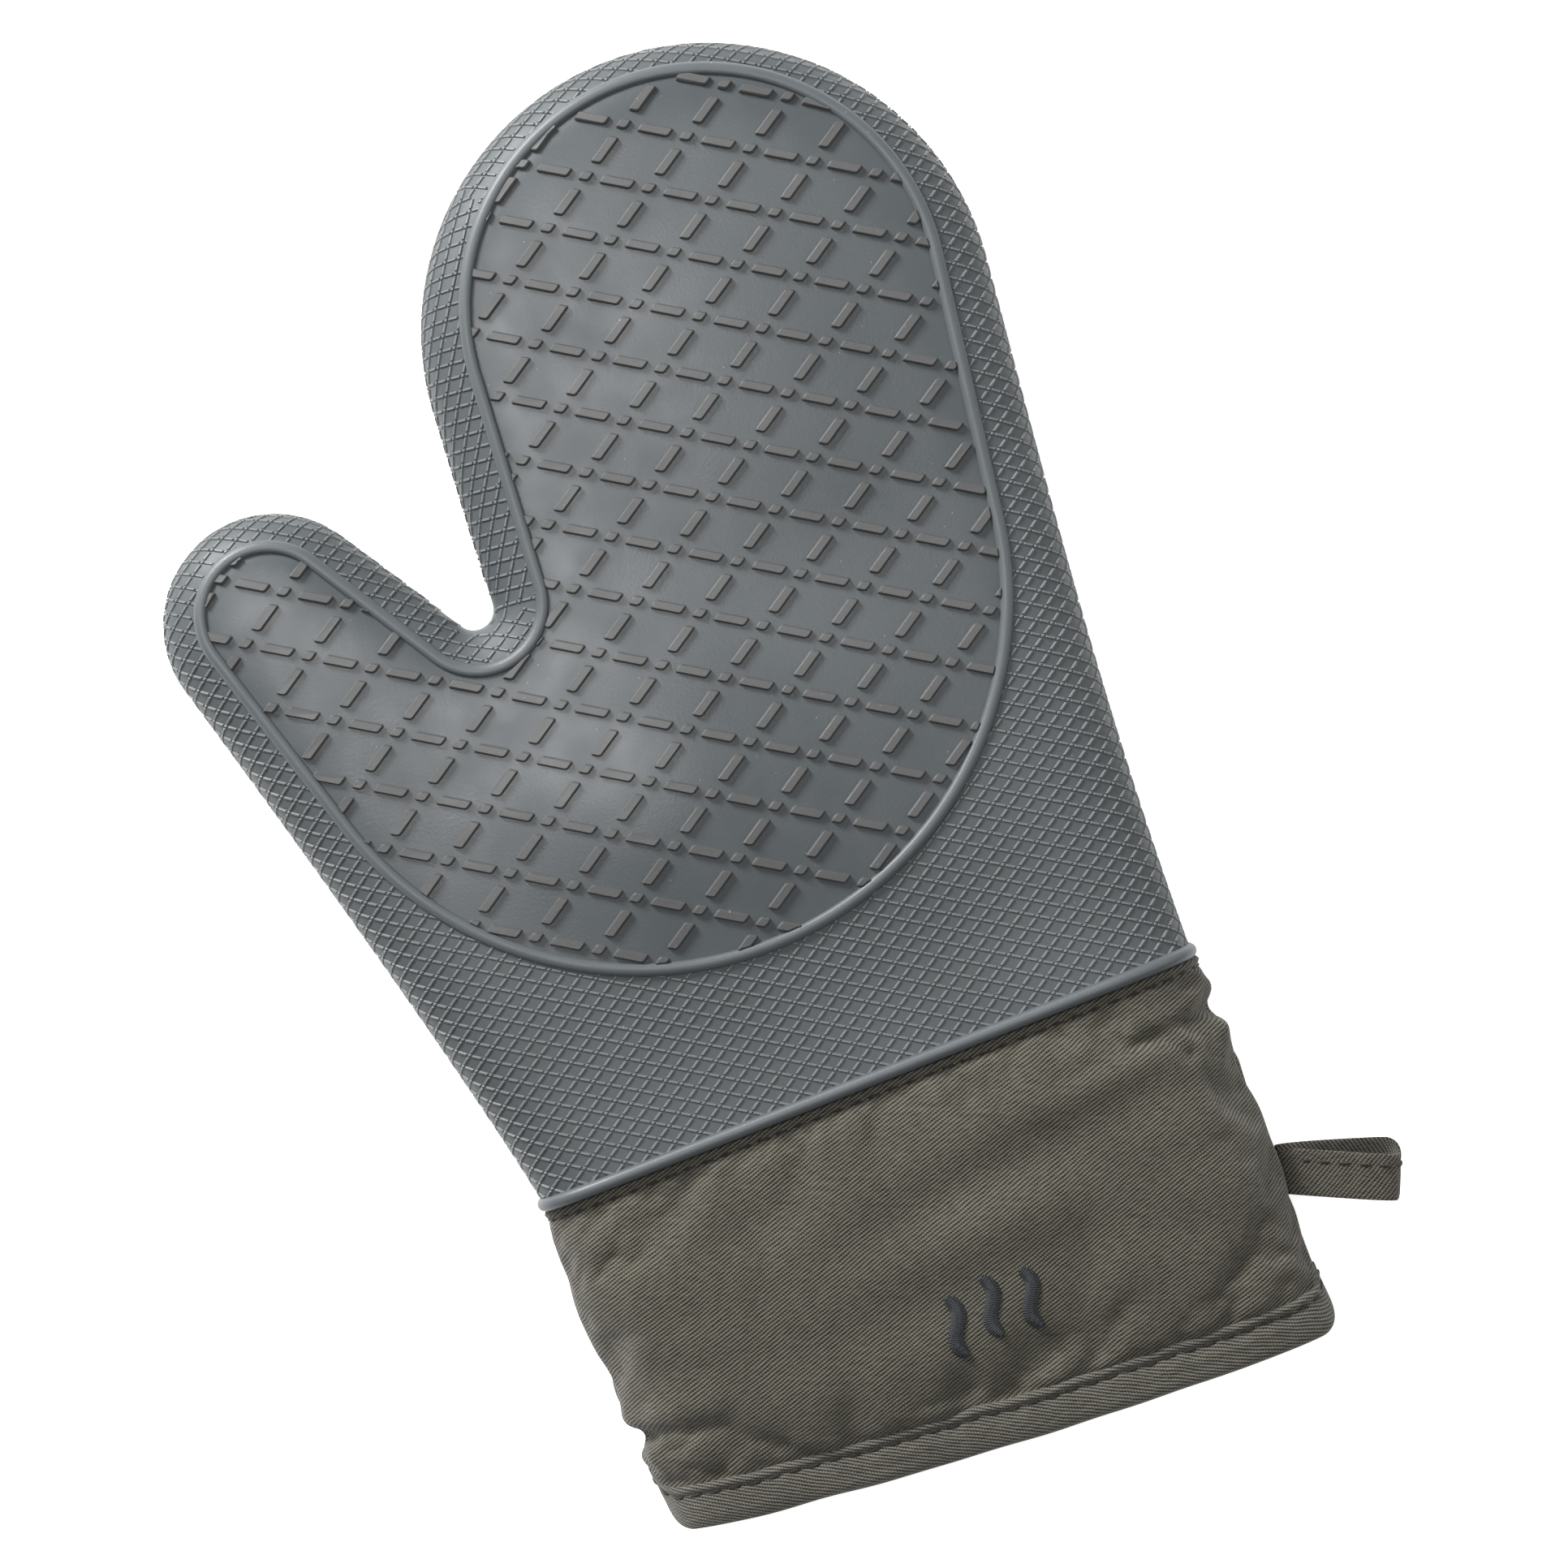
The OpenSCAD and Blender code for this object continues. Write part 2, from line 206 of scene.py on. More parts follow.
def twill(name, light, dark, angle, pitch, segment):
    """Cotton twill: slanting ribs of short yarn floats, with uneven dye and a little fuzz."""
    n = Nodes(name)
    turn = -math.radians(angle)
    part = n.add("ShaderNodeSeparateXYZ", inputs={"Vector": n.stretched(turn, (1, 1))})
    waver = n.times(n.math("SUBTRACT", n.noise(0.12, 2.0), 0.5), 0.9)
    across = n.plus(n.math("DIVIDE", part.outputs["Y"], pitch), waver)
    along = n.plus(n.math("DIVIDE", part.outputs["X"], segment), n.times(n.math("FLOOR", across), 0.37))
    rib = n.math("MULTIPLY_ADD", n.wave(across, 1.0), 0.42, 0.5)
    height = n.math("MULTIPLY_ADD", n.wave(along, 1.0), 0.2, rib)
    yarn = n.noise(1.0, 2.0, n.stretched(turn, (0.35, 2.6)))
    share = n.plus(n.fit(height, 0.0, 0.8, 0.15, 0.85), n.fit(yarn, -0.1, 0.3, 0.25, 0.75))
    tint = n.mix(share, linear(*dark), linear(*light))
    mottle = n.fit(n.noise(0.055, 4.0), 0.91, 1.08, 0.3, 0.7)
    grey = n.add("ShaderNodeCombineColor", inputs={"Red": mottle, "Green": mottle, "Blue": mottle})
    tint = n.mix(1.0, tint, grey.outputs[0], "MULTIPLY")
    fuzz = n.bump(n.noise(3.2, 2.0), 0.05)
    return n.finish(tint, 0.92, n.bump(height, 0.16, fuzz),
                    Sheen_Weight=0.18, Sheen_Roughness=0.55, Specular_IOR_Level=0.2)


def plain_weave(name, light, dark, pitch):
    """The lining: a plain woven cotton."""
    n = Nodes(name)
    part = n.add("ShaderNodeSeparateXYZ", inputs={"Vector": n.uv})
    warp, weft = (n.wave(part.outputs[axis], pitch) for axis in "XY")
    height = n.math("MULTIPLY_ADD", n.times(warp, weft), 0.4, 0.5)
    share = n.plus(n.times(height, 0.6), n.fit(n.noise(0.5, 3.0), 0.0, 0.5, 0.3, 0.7))
    tint = n.mix(share, linear(*dark), linear(*light))
    return n.finish(tint, 0.9, n.bump(height, 0.12), Sheen_Weight=0.15, Specular_IOR_Level=0.2)


def wadding_felt(name):
    """Needled cotton wadding: pale, matted and dull."""
    n = Nodes(name)
    fibre = n.noise(0.9, 6.0, n.stretched(0.6, (1.0, 0.3)), rough=0.7)
    tint = n.mix(n.fit(fibre, 0.0, 1.0, 0.3, 0.7), linear(168, 164, 152), linear(214, 210, 200))
    return n.finish(tint, 0.95, n.bump(fibre, 0.5), Specular_IOR_Level=0.1)


def thread(name, colour, pitch=0.32):
    """Twisted thread. Its UV map runs along it and round it."""
    n = Nodes(name)
    part = n.add("ShaderNodeSeparateXYZ", inputs={"Vector": n.uv})
    ply = n.wave(n.plus(part.outputs["X"], part.outputs["Y"]), pitch)
    dark, light = (linear(*[share * c for c in colour]) for share in (0.7, 1.12))
    tint = n.mix(n.fit(ply, 0.0, 1.0, -1.0, 1.0), dark, light)
    return n.finish(tint, 0.6, n.bump(ply, 0.05), Sheen_Weight=0.1, Specular_IOR_Level=0.35)


SILICONE = silicone("silicone_skin", (78, 83, 86), 0.33)
# The fine texture's marks are lighter than the skin. This is partly the marks' own tone and partly painted
# highlight for the light that their ridges catch.
SILICONE_FINE_TONE_AND_HIGHLIGHT = silicone("silicone_fine_texture_tone_and_highlight", (110, 113, 113), 0.5)
SILICONE_BEAD = silicone("silicone_bead", (87, 92, 95), 0.43)
SILICONE_BARS = silicone("silicone_grip_bars", (86, 87, 86), 0.38)
CUFF_TWILL = twill("cuff_twill_cloth", (114, 110, 98), (17, 15, 12), 18, 0.78, 0.63)
BINDING_TWILL = twill("binding_twill_cloth", (119, 116, 106), (20, 18, 15), -24, 0.80, 0.66)
TAPE_TWILL = twill("tape_twill_cloth", (106, 102, 92), (20, 18, 15), 52, 0.80, 0.66)
LINING = plain_weave("lining_cotton", (120, 116, 108), (70, 67, 61), 0.55)
WADDING = wadding_felt("cotton_wadding")
SEAM_THREAD = thread("seam_thread_dark", (52, 50, 45))
EMBROIDERY = thread("embroidery_thread_grey", (56, 60, 64))


# ---- Mesh helpers ----
LOWEST = 0.02  # nothing goes below this height, so that no piece passes the floor


def new_piece(name, verts, faces, material, uv, smooth=True, normals=None, matt=None):
    """One mesh object in the row frame. uv has one entry per vertex or one per face corner."""
    mesh = bpy.data.meshes.new(name)
    verts = np.array(verts, float)
    verts[:, 2] = np.maximum(verts[:, 2], LOWEST)
    mesh.from_pydata(row(verts).tolist(), [], faces)
    corners = np.zeros(len(mesh.loops), int)
    mesh.loops.foreach_get("vertex_index", corners)
    uv = np.asarray(uv, float)
    per_corner = uv if len(uv) == len(corners) and len(uv) != len(verts) else uv[corners]
    mesh.uv_layers.new(name="UVMap").data.foreach_set("uv", per_corner.astype(np.float32).ravel())
    mesh.polygons.foreach_set("use_smooth", [smooth] * len(mesh.polygons))
    mesh.materials.append(material)
    if matt is not None:
        mesh.attributes.new(MATT, "FLOAT", "POINT").data.foreach_set("value", np.asarray(matt, np.float32))
    if normals is not None:
        mesh.normals_split_custom_set_from_vertices(np.asarray(normals).tolist())
    return placed(name, mesh)


def unit(v):
    """Vectors along the last axis at length 1."""
    return v / np.maximum(np.linalg.norm(v, axis=-1, keepdims=True), 1e-9)


def vertex_normals(verts, faces):
    """Area-weighted normals at the vertices."""
    tris = np.array([(f[0], f[k], f[k + 1]) for f in faces for k in range(1, len(f) - 1)])
    a, b, c = (verts[tris[:, k]] for k in range(3))
    flat = np.cross(b - a, c - a)
    total = np.zeros_like(verts)
    for k in range(3):
        np.add.at(total, tris[:, k], flat)
    return total / np.maximum(np.linalg.norm(total, axis=1, keepdims=True), 1e-12)


def polygon_area(p):
    """Above 0 when the corners run counter-clockwise."""
    x, y = p[:, 0], p[:, 1]
    return 0.5 * float(np.sum(x * np.roll(y, -1) - y * np.roll(x, -1)))


def thicken(verts, faces, normals, depth):
    """Adds an inner face a given depth below the outer one and closes the open edges between them."""
    count = len(verts)
    seen = {}
    for f in faces:
        for p, q in zip(f, f[1:] + f[:1]):
            seen[(p, q)] = seen.get((p, q), 0) + 1
    rim = [(p, q) for p, q in seen if (q, p) not in seen]
    solid = faces + [[v + count for v in reversed(f)] for f in faces]
    solid += [[q, p, p + count, q + count] for p, q in rim]
    return (np.vstack([verts, verts - normals * depth]), solid, np.vstack([normals, -normals]))


def grid_faces(rows, cols, base=0, flip=False, round_rows=False, round_cols=True):
    """Quads between the points of a grid, whose rows or columns may run round to the first one."""
    faces = []
    for r in range(rows if round_rows else rows - 1):
        here, after = base + r * cols, base + (r + 1) % rows * cols
        for c in range(cols if round_cols else cols - 1):
            d = (c + 1) % cols
            faces.append([here + c, here + d, after + d, after + c])
    return [f[::-1] for f in faces] if flip else faces


def tubes(paths, ups, radii, sides=6):
    """Many short tubes at once: paths (n, m, 3), one up direction each, and m radii."""
    paths, ups = np.asarray(paths, float), np.asarray(ups, float)
    n, m = paths.shape[:2]
    ahead = unit(np.gradient(paths, axis=1))
    aside = unit(np.cross(ahead, ups[:, None, :]))
    up = np.cross(aside, ahead)
    turn = 2 * math.pi * np.arange(sides) / sides
    ring = (aside[:, :, None, :] * np.cos(turn)[None, None, :, None]
            + up[:, :, None, :] * np.sin(turn)[None, None, :, None])
    verts = paths[:, :, None, :] + ring * np.asarray(radii)[None, :, None, None]
    uv = np.zeros((n, m, sides, 2))
    uv[..., 0] = lengths(paths[0])[None, :, None]
    uv[..., 1] = (turn * max(radii))[None, None, :]
    faces = []
    for k in range(n):
        base = k * m * sides
        faces += grid_faces(m, sides, base, True)
        faces.append([base + j for j in range(sides)])
        faces.append([base + (m - 1) * sides + j for j in reversed(range(sides))])
    return verts.reshape(-1, 3), faces, uv.reshape(-1, 2)


def lengths(points):
    """The distance along a line to each of its points."""
    return np.concatenate([[0], np.cumsum(np.linalg.norm(np.diff(points, axis=0), axis=1))])


def on_line(points, length, at):
    """Points of a line at distances along it."""
    return np.stack([np.interp(at, length, points[:, k]) for k in range(points.shape[1])], -1)


# A stitch: share of its length from its middle, height above the cloth, share of the thread's radius
STITCH_SHAPE = ((-0.5, -0.35, 0.45), (-0.38, 0.02, 0.85), (-0.15, 0.16, 1.0),
                (0.15, 0.16, 1.0), (0.38, 0.02, 0.85), (0.5, -0.35, 0.45))


def stitches(points, normals, pitch, length, radius):
    """A row of sewn stitches along a line: each dips into the cloth at both ends."""
    total = lengths(points)
    at = np.arange(0, total[-1] - pitch / 2, pitch)
    paths = np.stack([
        on_line(points, total, at + t * length) + on_line(normals, total, at + t * length) * lift
        for t, lift, _ in STITCH_SHAPE], 1)
    return tubes(paths, on_line(normals, total, at), [radius * s[2] for s in STITCH_SHAPE])


# ---- Outline of the hand ----
# A path is a chain of circles joined by the straight lines that touch them. The path goes
# round a circle to the left if its radius is above 0, and to the right if it is below.
# The hand's two long sides are curves. Each has its low end, a handle, and the upper handle's reach.
DOME = (28.5, 264.5, 65.5)
CROTCH = (-45.0, 224.8, -4.6)
THUMB = (-88.5, 238.2, 25.2)
WRIST_Y = 92.0
RIGHT_SIDE = ((78.9, WRIST_Y), (80.5, 150.0), 60.0)
LEFT_SIDE = ((-79.5, WRIST_Y), (-82.5, 110.0), 80.0)
DOME_START = math.radians(83.4)
THUMB_END = math.radians(-75.07)


def ahead_of(heading):
    return np.stack([np.cos(heading), np.sin(heading)], -1)


def left_of(heading):
    return np.stack([-np.sin(heading), np.cos(heading)], -1)


def link(a, b):
    """The heading of the line from circle a to circle b."""
    run = np.subtract(b[:2], a[:2])
    return math.atan2(run[1], run[0]) - math.asin((b[2] - a[2]) / np.linalg.norm(run))


def arc(circle, first, last, step):
    """Points and headings round a circle, from one heading to another."""
    x, y, r = circle
    turn = (last - first) % (2 * math.pi) if r > 0 else -((first - last) % (2 * math.pi))
    count = max(2, math.ceil(abs(turn * r) / step))
    heading = first + turn * np.linspace(0, 1, count + 1)
    return np.array([x, y]) - r * left_of(heading), heading


def straight(p, q, step):
    """Points between p and q, without either."""
    run = q - p
    count = max(1, round(np.linalg.norm(run) / step))
    t = np.arange(1, count) / count
    return p + t[:, None] * run, np.full(len(t), math.atan2(run[1], run[0]))


def curve(p0, p1, p2, p3, step):
    """Points and headings along a Bezier curve."""
    p0, p1, p2, p3 = map(np.array, (p0, p1, p2, p3))
    t = np.linspace(0, 1, max(4, round(np.linalg.norm(p3 - p0) / step)) + 1)[:, None]
    p = (1 - t) ** 3 * p0 + 3 * (1 - t) ** 2 * t * p1 + 3 * (1 - t) * t ** 2 * p2 + t ** 3 * p3
    d = (1 - t) ** 2 * (p1 - p0) + 2 * (1 - t) * t * (p2 - p1) + t ** 2 * (p3 - p2)
    return p, np.arctan2(d[:, 1], d[:, 0])


def joined(parts):
    return np.concatenate([p for p, _ in parts]), np.concatenate([h for _, h in parts])


def hand_outline(step, crotch_step):
    """From the wrist up the little-finger side, round the fingers and thumb, to the wrist."""
    dome = arc(DOME, DOME_START, link(DOME, CROTCH), step)
    crotch = arc(CROTCH, link(DOME, CROTCH), link(CROTCH, THUMB), crotch_step)
    thumb = arc(THUMB, link(CROTCH, THUMB), THUMB_END, step)
    top = dome[0][0]
    low, handle, reach = RIGHT_SIDE
    right = curve(low, handle, top - reach * ahead_of(DOME_START), top, step)
    end = thumb[0][-1]
    low, handle, reach = LEFT_SIDE
    left = curve(end, end + reach * ahead_of(THUMB_END), handle, low, step)
    return joined([
        (right[0][:-1], right[1][:-1]), dome, straight(dome[0][-1], crotch[0][0], step), crotch,
        straight(crotch[0][-1], thumb[0][0], step), thumb, (left[0][1:], left[1][1:])])


PANEL_CIRCLES = ((29.3, 269.0, 54.0), (-43.3, 224.8, -14.9), (-88.0, 240.0, 15.5), (-9.0, 212.4, 83.5))


def panel_outline(step):
    """The closed line in the middle of the bead round the grip panel."""
    n = len(PANEL_CIRCLES)
    parts = []
    for k in range(n):
        before, here, after = PANEL_CIRCLES[k - 1], PANEL_CIRCLES[k], PANEL_CIRCLES[(k + 1) % n]
        piece = arc(here, link(before, here), link(here, after), step)
        following = arc(after, link(here, after), link(here, after) + 0.1, step)
        parts += [piece, straight(piece[0][-1], following[0][0], step)]
    return joined(parts)


def tree_of(points):
    """For finding the nearest of some points in plan."""
    tree = KDTree(len(points))
    for k, p in enumerate(points):
        tree.insert((p[0], p[1], 0), k)
    tree.balance()
    return tree


class Edge:
    """Distance from a path, with its side: above 0 on the left."""

    def __init__(self, points, headings):
        self.points, self.normals, self.tree = points, left_of(headings), tree_of(points)

    def near(self, q):
        at = np.array([self.tree.find((x, y, 0))[1] for x, y in q], int)
        n = self.normals[at]
        return ((q - self.points[at]) * n).sum(1), n


HAND_EDGE = Edge(*hand_outline(0.5, 0.25))
PANEL_EDGE = Edge(*panel_outline(0.5))

# ---- Form of the hand ----
# The face rises from the rim to its full height over SHOULDER, on a squared-off curve.
SHOULDER, SQUARENESS = 26.0, 3.0
TOP_HALF, BACK_HALF = 13.0, 12.1
# Soft hills and hollows of the padding under the grip face: x, y, radius x, radius y, height
HILLS = ((-4, 156, 56, 46, 2.3), (-22, 170, 31, 30, 2.9), (38, 262, 46, 50, 1.5), (-82, 222, 26, 34, 0.7),
         (42, 208, 44, 18, -0.6), (10, 114, 74, 18, -0.8))


def swell(d, shoulder=SHOULDER):
    """The share of its full height that the face has reached, d inside the rim."""
    t = 1 - np.clip(d, 0, shoulder) / shoulder
    return (1 - t ** SQUARENESS) ** (1 / SQUARENESS)


def swell_slope(d, shoulder=SHOULDER):
    t = 1 - np.clip(d, 0.004, shoulder) / shoulder
    return (1 - t ** SQUARENESS) ** (1 / SQUARENESS - 1) * t ** (SQUARENESS - 1) / shoulder


def hills(plan):
    x, y = plan[:, 0], plan[:, 1]
    return sum(h * np.exp(-((x - cx) / rx) ** 2 - ((y - cy) / ry) ** 2) for cx, cy, rx, ry, h in HILLS)


def on_face(foot, inward, d, side, lift=0.0, depth=0.0):
    """Points of the top (side 1) or back (side -1) of the hand, d inside the rim."""
    half = (TOP_HALF if side > 0 else BACK_HALF) - depth
    shoulder = SHOULDER - depth
    plan = foot + inward * np.asarray(d)[:, None]
    rise = swell(d - depth, shoulder)
    z = MID_Z + side * half * rise
    if side > 0:
        z = z + hills(plan) * rise
    slope = half * swell_slope(d - depth, shoulder)
    size = np.sqrt(1 + slope ** 2)
    lift = np.broadcast_to(lift, z.shape)
    xy = plan - inward * (slope / size * lift)[:, None]
    return np.column_stack([xy, z + side * lift / size])


def face_point(q, side, lift=0.0, depth=0.0):
    """The face straight above or below plan points."""
    q = np.asarray(q, float)
    e, n = HAND_EDGE.near(q)
    return on_face(q - n * e[:, None], n, np.maximum(e, depth), side, lift, depth)


def arc_table(half):
    """Distances from the rim in plan, and the same distances along the face."""
    d = SHOULDER * np.linspace(0, 1, 600) ** 3
    return d, lengths(np.column_stack([d, half * swell(d)]))


ARC = {1: arc_table(TOP_HALF), -1: arc_table(BACK_HALF)}


def along_face(e, side):
    """The distance from the rim along the face, of plan distances on a flat pattern wrapped over it."""
    return e + ARC[side][1][-1] - SHOULDER


def wrapped_point(q, side, lift=0.0):
    """The face at plan points of a flat pattern that is wrapped down over the rim. Also says
    how far each point is from the rim along the face: below 0 is off the face."""
    e, n = HAND_EDGE.near(q)
    d_table, s_table = ARC[side]
    s = along_face(e, side)
    d = np.where(s < s_table[-1], np.interp(s, s_table, d_table), e)
    return on_face(q - n * e[:, None], n, d, side, lift), s


# ---- The split between the fingers' and the thumb's pieces ----
CROTCH_POINT = np.array([-45.0, 219.5])
CREASE_TURN = math.radians(38)
THUMB_WAY = np.array([-math.sin(CREASE_TURN), math.cos(CREASE_TURN)])
SPLIT_MARGIN = 2.0


def on_thumb(q):
    """Whether plan points belong to the thumb's pieces, past the line of the thumb's crease."""
    past = (q - CROTCH_POINT) @ THUMB_WAY > -SPLIT_MARGIN
    return past & (q[:, 0] < CROTCH_POINT[0])


def bend_with_fingers(obj):
    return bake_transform(obj)


def bend_with_thumb(obj):
    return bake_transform(obj)


def hand_pieces(name, verts, faces, uv, material, keys=None, normals=None, thickness=0.0,
                smooth=True, matt=None):
    """Splits a part of the hand into the piece on the fingers' side and the piece on the thumb's
    side. keys are the plan points that decide it, one per face."""
    verts, uv = np.asarray(verts, float), np.asarray(uv, float)
    if keys is None:
        keys = np.array([verts[f, :2].mean(0) for f in faces])
    thumb = on_thumb(np.asarray(keys))
    made = []
    for which, label, bend in ((~thumb, "fingers", bend_with_fingers), (thumb, "thumb", bend_with_thumb)):
        chosen = [f for f, w in zip(faces, which) if w]
        used = sorted({v for f in chosen for v in f})
        place = {v: k for k, v in enumerate(used)}
        part_faces = [[place[v] for v in f] for f in chosen]
        part_verts, part_uv = verts[used], uv[used]
        part_normals = normals[used] if normals is not None else None
        if thickness:
            part_verts, part_faces, part_normals = thicken(part_verts, part_faces, part_normals, thickness)
            part_uv = np.vstack([part_uv, part_uv])
        part_matt = None if matt is None else np.tile(matt[used], len(part_verts) // len(used))
        obj = new_piece(f"{label}_{name}", part_verts, part_faces, material, part_uv, smooth,
                        part_normals, part_matt)
        bend(obj)
        made.append(obj)
    return made


# ---- Skin of the hand, and the layers inside it ----
BEAD_HALF = 1.55
# The surface has rings of quads near the rim, this far inside it, and triangles further in.
RINGS = (0.0, 0.04, 0.16, 0.4, 0.8, 1.5, 2.5, 4.0, 6.0, 8.5, 11.0, 13.0)


def filled(border, inset, spacing):
    """Plan points and triangles that fill the border of the last ring, which is inset from the rim."""
    xs, ys = np.meshgrid(np.arange(-120, 100, spacing), np.arange(WRIST_Y, 335, spacing * 0.866))
    xs = xs + (np.arange(len(xs)) % 2)[:, None] * spacing / 2
    grid = np.column_stack([xs.ravel(), ys.ravel()])
    e, _ = HAND_EDGE.near(grid)
    grid = grid[(e > inset + spacing * 0.45) & (grid[:, 1] > WRIST_Y + spacing * 0.5)]
    flat = [Vector(p) for p in np.vstack([border, grid])]
    made = delaunay_2d_cdt(flat, [], [list(range(len(border)))], 1, 1e-4)
    plan, triangles = np.array([list(v) for v in made[0]]), made[2]
    if polygon_area(plan[triangles[0]]) < 0:
        triangles = [f[::-1] for f in triangles]
    return plan, triangles


def hand_surface(depth, step, spacing):
    """The whole surface of one layer of the hand, open at the wrist: vertices, faces and UVs."""
    points, headings = hand_outline(step, 0.3 * step)
    inward = left_of(headings)
    count = len(points)
    rings = [depth + d * (1 - depth / SHOULDER) for d in RINGS]
    inner = points + inward * rings[-1]
    closing_count = round((inner[0][0] - inner[-1][0]) / spacing)
    t = np.arange(1, closing_count) / closing_count
    closing = inner[-1] + t[:, None] * (inner[0] - inner[-1])
    plan, triangles = filled(np.vstack([inner, closing]), rings[-1], spacing)
    top, back = (
        np.vstack([on_face(points, inward, np.full(count, d), side, 0.0, depth) for d in rings[:-1]]
                  + [face_point(plan, side, 0.0, depth)]) for side in (1, -1))
    faces = grid_faces(len(rings), count, round_cols=False)
    faces += [[(len(rings) - 1) * count + v for v in f] for f in triangles]

    def under(v):
        return v if v < count else v - count + len(top)

    faces += [[under(v) for v in reversed(f)] for f in faces]
    verts = np.vstack([top, back[count:]])
    uv = np.vstack([top[:, :2], back[count:, :2] * [-1, 1]])
    return verts, faces, uv


# Each layer: name, depth, thickness, step along the rim, spacing of the triangles, material, slot, nodes
LAYERS = (("silicone_skin", 0.0, 1.8, 2.2, 3.2, SILICONE, "silicone", ("shell",)),
          ("wadding", 1.9, 3.0, 3.2, 5.0, WADDING, "wadding", ("wadding_upper", "wadding_lower")),
          ("lining", 5.0, 1.0, 3.2, 5.0, LINING, "lining", ("lining_upper", "lining_lower")))


def make_hand_layers():
    for name, depth, thickness, step, spacing, material, slot, nodes in LAYERS:
        verts, faces, uv = hand_surface(depth, step, spacing)
        normals = vertex_normals(verts, faces)
        outside = np.clip(0.5 - PANEL_EDGE.near(verts[:, :2])[0] / (2 * BEAD_HALF), 0, 1)
        fingers, thumb = hand_pieces(name, verts, faces, uv, material, normals=normals,
                                     thickness=thickness, matt=outside)
        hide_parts(*[f"{part}_{n}" for n in nodes for part in ("palm", "finger")])
        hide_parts(*[f"thumb_{n}" for n in nodes])


make_hand_layers()


# ---- Raised work on the silicone ----
BEAD_STEPS = 9
ROOT = 0.12  # how far the panel's bead goes into the skin
WRIST_BEAD_Y, WRIST_BEAD_R = 92.4, 1.65
WRIST_ENDS = (-79.6, 78.9)


def turned_over(faces, side):
    return faces if side > 0 else [f[::-1] for f in faces]


def make_panel_beads():
    points, headings = panel_outline(1.0)
    n = left_of(headings)
    count = len(points)
    faces = [[low + i, low + count + i, low + count + (i + 1) % count, low + (i + 1) % count]
             for low in range(0, (BEAD_STEPS - 1) * count, count) for i in range(count)]
    for side, height, label in ((1, 1.5, "grip"), (-1, 0.9, "back")):
        verts = np.vstack([
            face_point(points + n * BEAD_HALF * math.cos(t), side, height * math.sin(t) ** 0.8 - ROOT)
            for t in np.linspace(0, math.pi, BEAD_STEPS)])
        shown = turned_over(faces, side)
        hand_pieces(f"{label}_panel_bead", verts, shown, verts[:, :2], SILICONE_BEAD,
                    normals=vertex_normals(verts, shown))


def prisms(polygons, levels, place):
    """Raised marks from flat convex polygons (n, k, 2). Each level is (inset, lift)."""
    n, k = polygons.shape[:2]
    ahead = unit(np.roll(polygons, -1, axis=1) - polygons)
    inward = np.stack([-ahead[..., 1], ahead[..., 0]], -1)
    before = np.roll(inward, 1, axis=1)
    shift = (inward + before) / np.maximum(1 + (inward * before).sum(2), 0.25)[..., None]
    stack = []
    for inset, lift in levels:
        plan = (polygons + shift * inset).reshape(-1, 2)
        stack.append(place(plan, lift).reshape(n, k, 3))
    verts = np.stack(stack, 1).reshape(-1, 3)
    uv = np.repeat(polygons[:, None], len(levels), 1).reshape(-1, 2)
    faces, owner = [], []
    for p in range(n):
        base = p * k * len(levels)
        faces += grid_faces(len(levels), k, base)
        faces.append([base + (len(levels) - 1) * k + i for i in range(k)])
        owner += [p] * (k * (len(levels) - 1) + 1)
    return verts, faces, uv, np.array(owner)


# The grip pattern: a dot where the diamonds' corners meet and a bar along each side.
GRIP_A, GRIP_B = np.array([12.25, 7.8]), np.array([12.25, -7.8])
GRIP_START = np.array([3.0, 267.0])
MARK_REACH = 4.5  # no mark is longer from its middle to its ends
SMALLEST_MARK = 0.8  # smaller leftovers of cut marks are dropped

FINE_SCALE = 0.25
FINE_BAR, FINE_DOT = (1.13, 0.32), 0.38
FINE_LEVELS = ((-0.05, -0.08), (0.03, 0.22), (0.15, 0.36))
# How far the fine texture stays from the rim, where the mould's two halves met
PARTING_LINE = 0.45
PATCH_TURN = math.radians(24)
PATCH_LOW_Y, PATCH_FACING = 221.0, 0.64
MOST_SPREAD = 2.6  # marks that the tight web would stretch further are left out
PAST_BEAD, PAST_WRIST = 0.3, 1.9  # how far the texture starts outside the panel, and above the wrist


def lattice(scale, reach):
    i, j = np.meshgrid(np.arange(-reach, reach + 1), np.arange(-reach, reach + 1))
    i, j = i.ravel()[:, None], j.ravel()[:, None]
    return GRIP_START + scale * (GRIP_A * i + GRIP_B * j)


def lozenges(middles, half_a, half_b):
    """Parallelograms along the two directions of the lattice, counter-clockwise."""
    a, b = unit(GRIP_A) * half_a, unit(GRIP_B) * half_b
    return np.stack([middles - a - b, middles - a + b, middles + a + b, middles + a - b], 1)


def marks_of(scale, reach, bar, dot):
    """The dots and both sets of bars of a lattice, each with its half sizes."""
    middles = lattice(scale, reach)
    a, b = GRIP_A * scale / 2, GRIP_B * scale / 2
    long, narrow = bar
    return np.concatenate([
        lozenges(middles, dot, dot),
        lozenges(middles + a, long, narrow),
        lozenges(middles + b, narrow, long)])


def clipped(polygon, keep_in=1.25):
    """A grip mark cut off where it would reach under the bead."""
    for _ in range(3):
        e, n = PANEL_EDGE.near(polygon)
        worst = int(np.argmin(e))
        if e[worst] >= keep_in:
            return polygon
        inside = (polygon - polygon[worst]) @ n[worst] + e[worst] - keep_in
        cut = []
        for k in range(len(polygon)):
            p, q, ep, eq = polygon[k - 1], polygon[k], inside[k - 1], inside[k]
            if (ep >= 0) != (eq >= 0):
                cut.append(p + (q - p) * ep / (ep - eq))
            if eq >= 0:
                cut.append(q)
        if len(cut) < 3:
            return None
        polygon = np.array(cut)
    return polygon


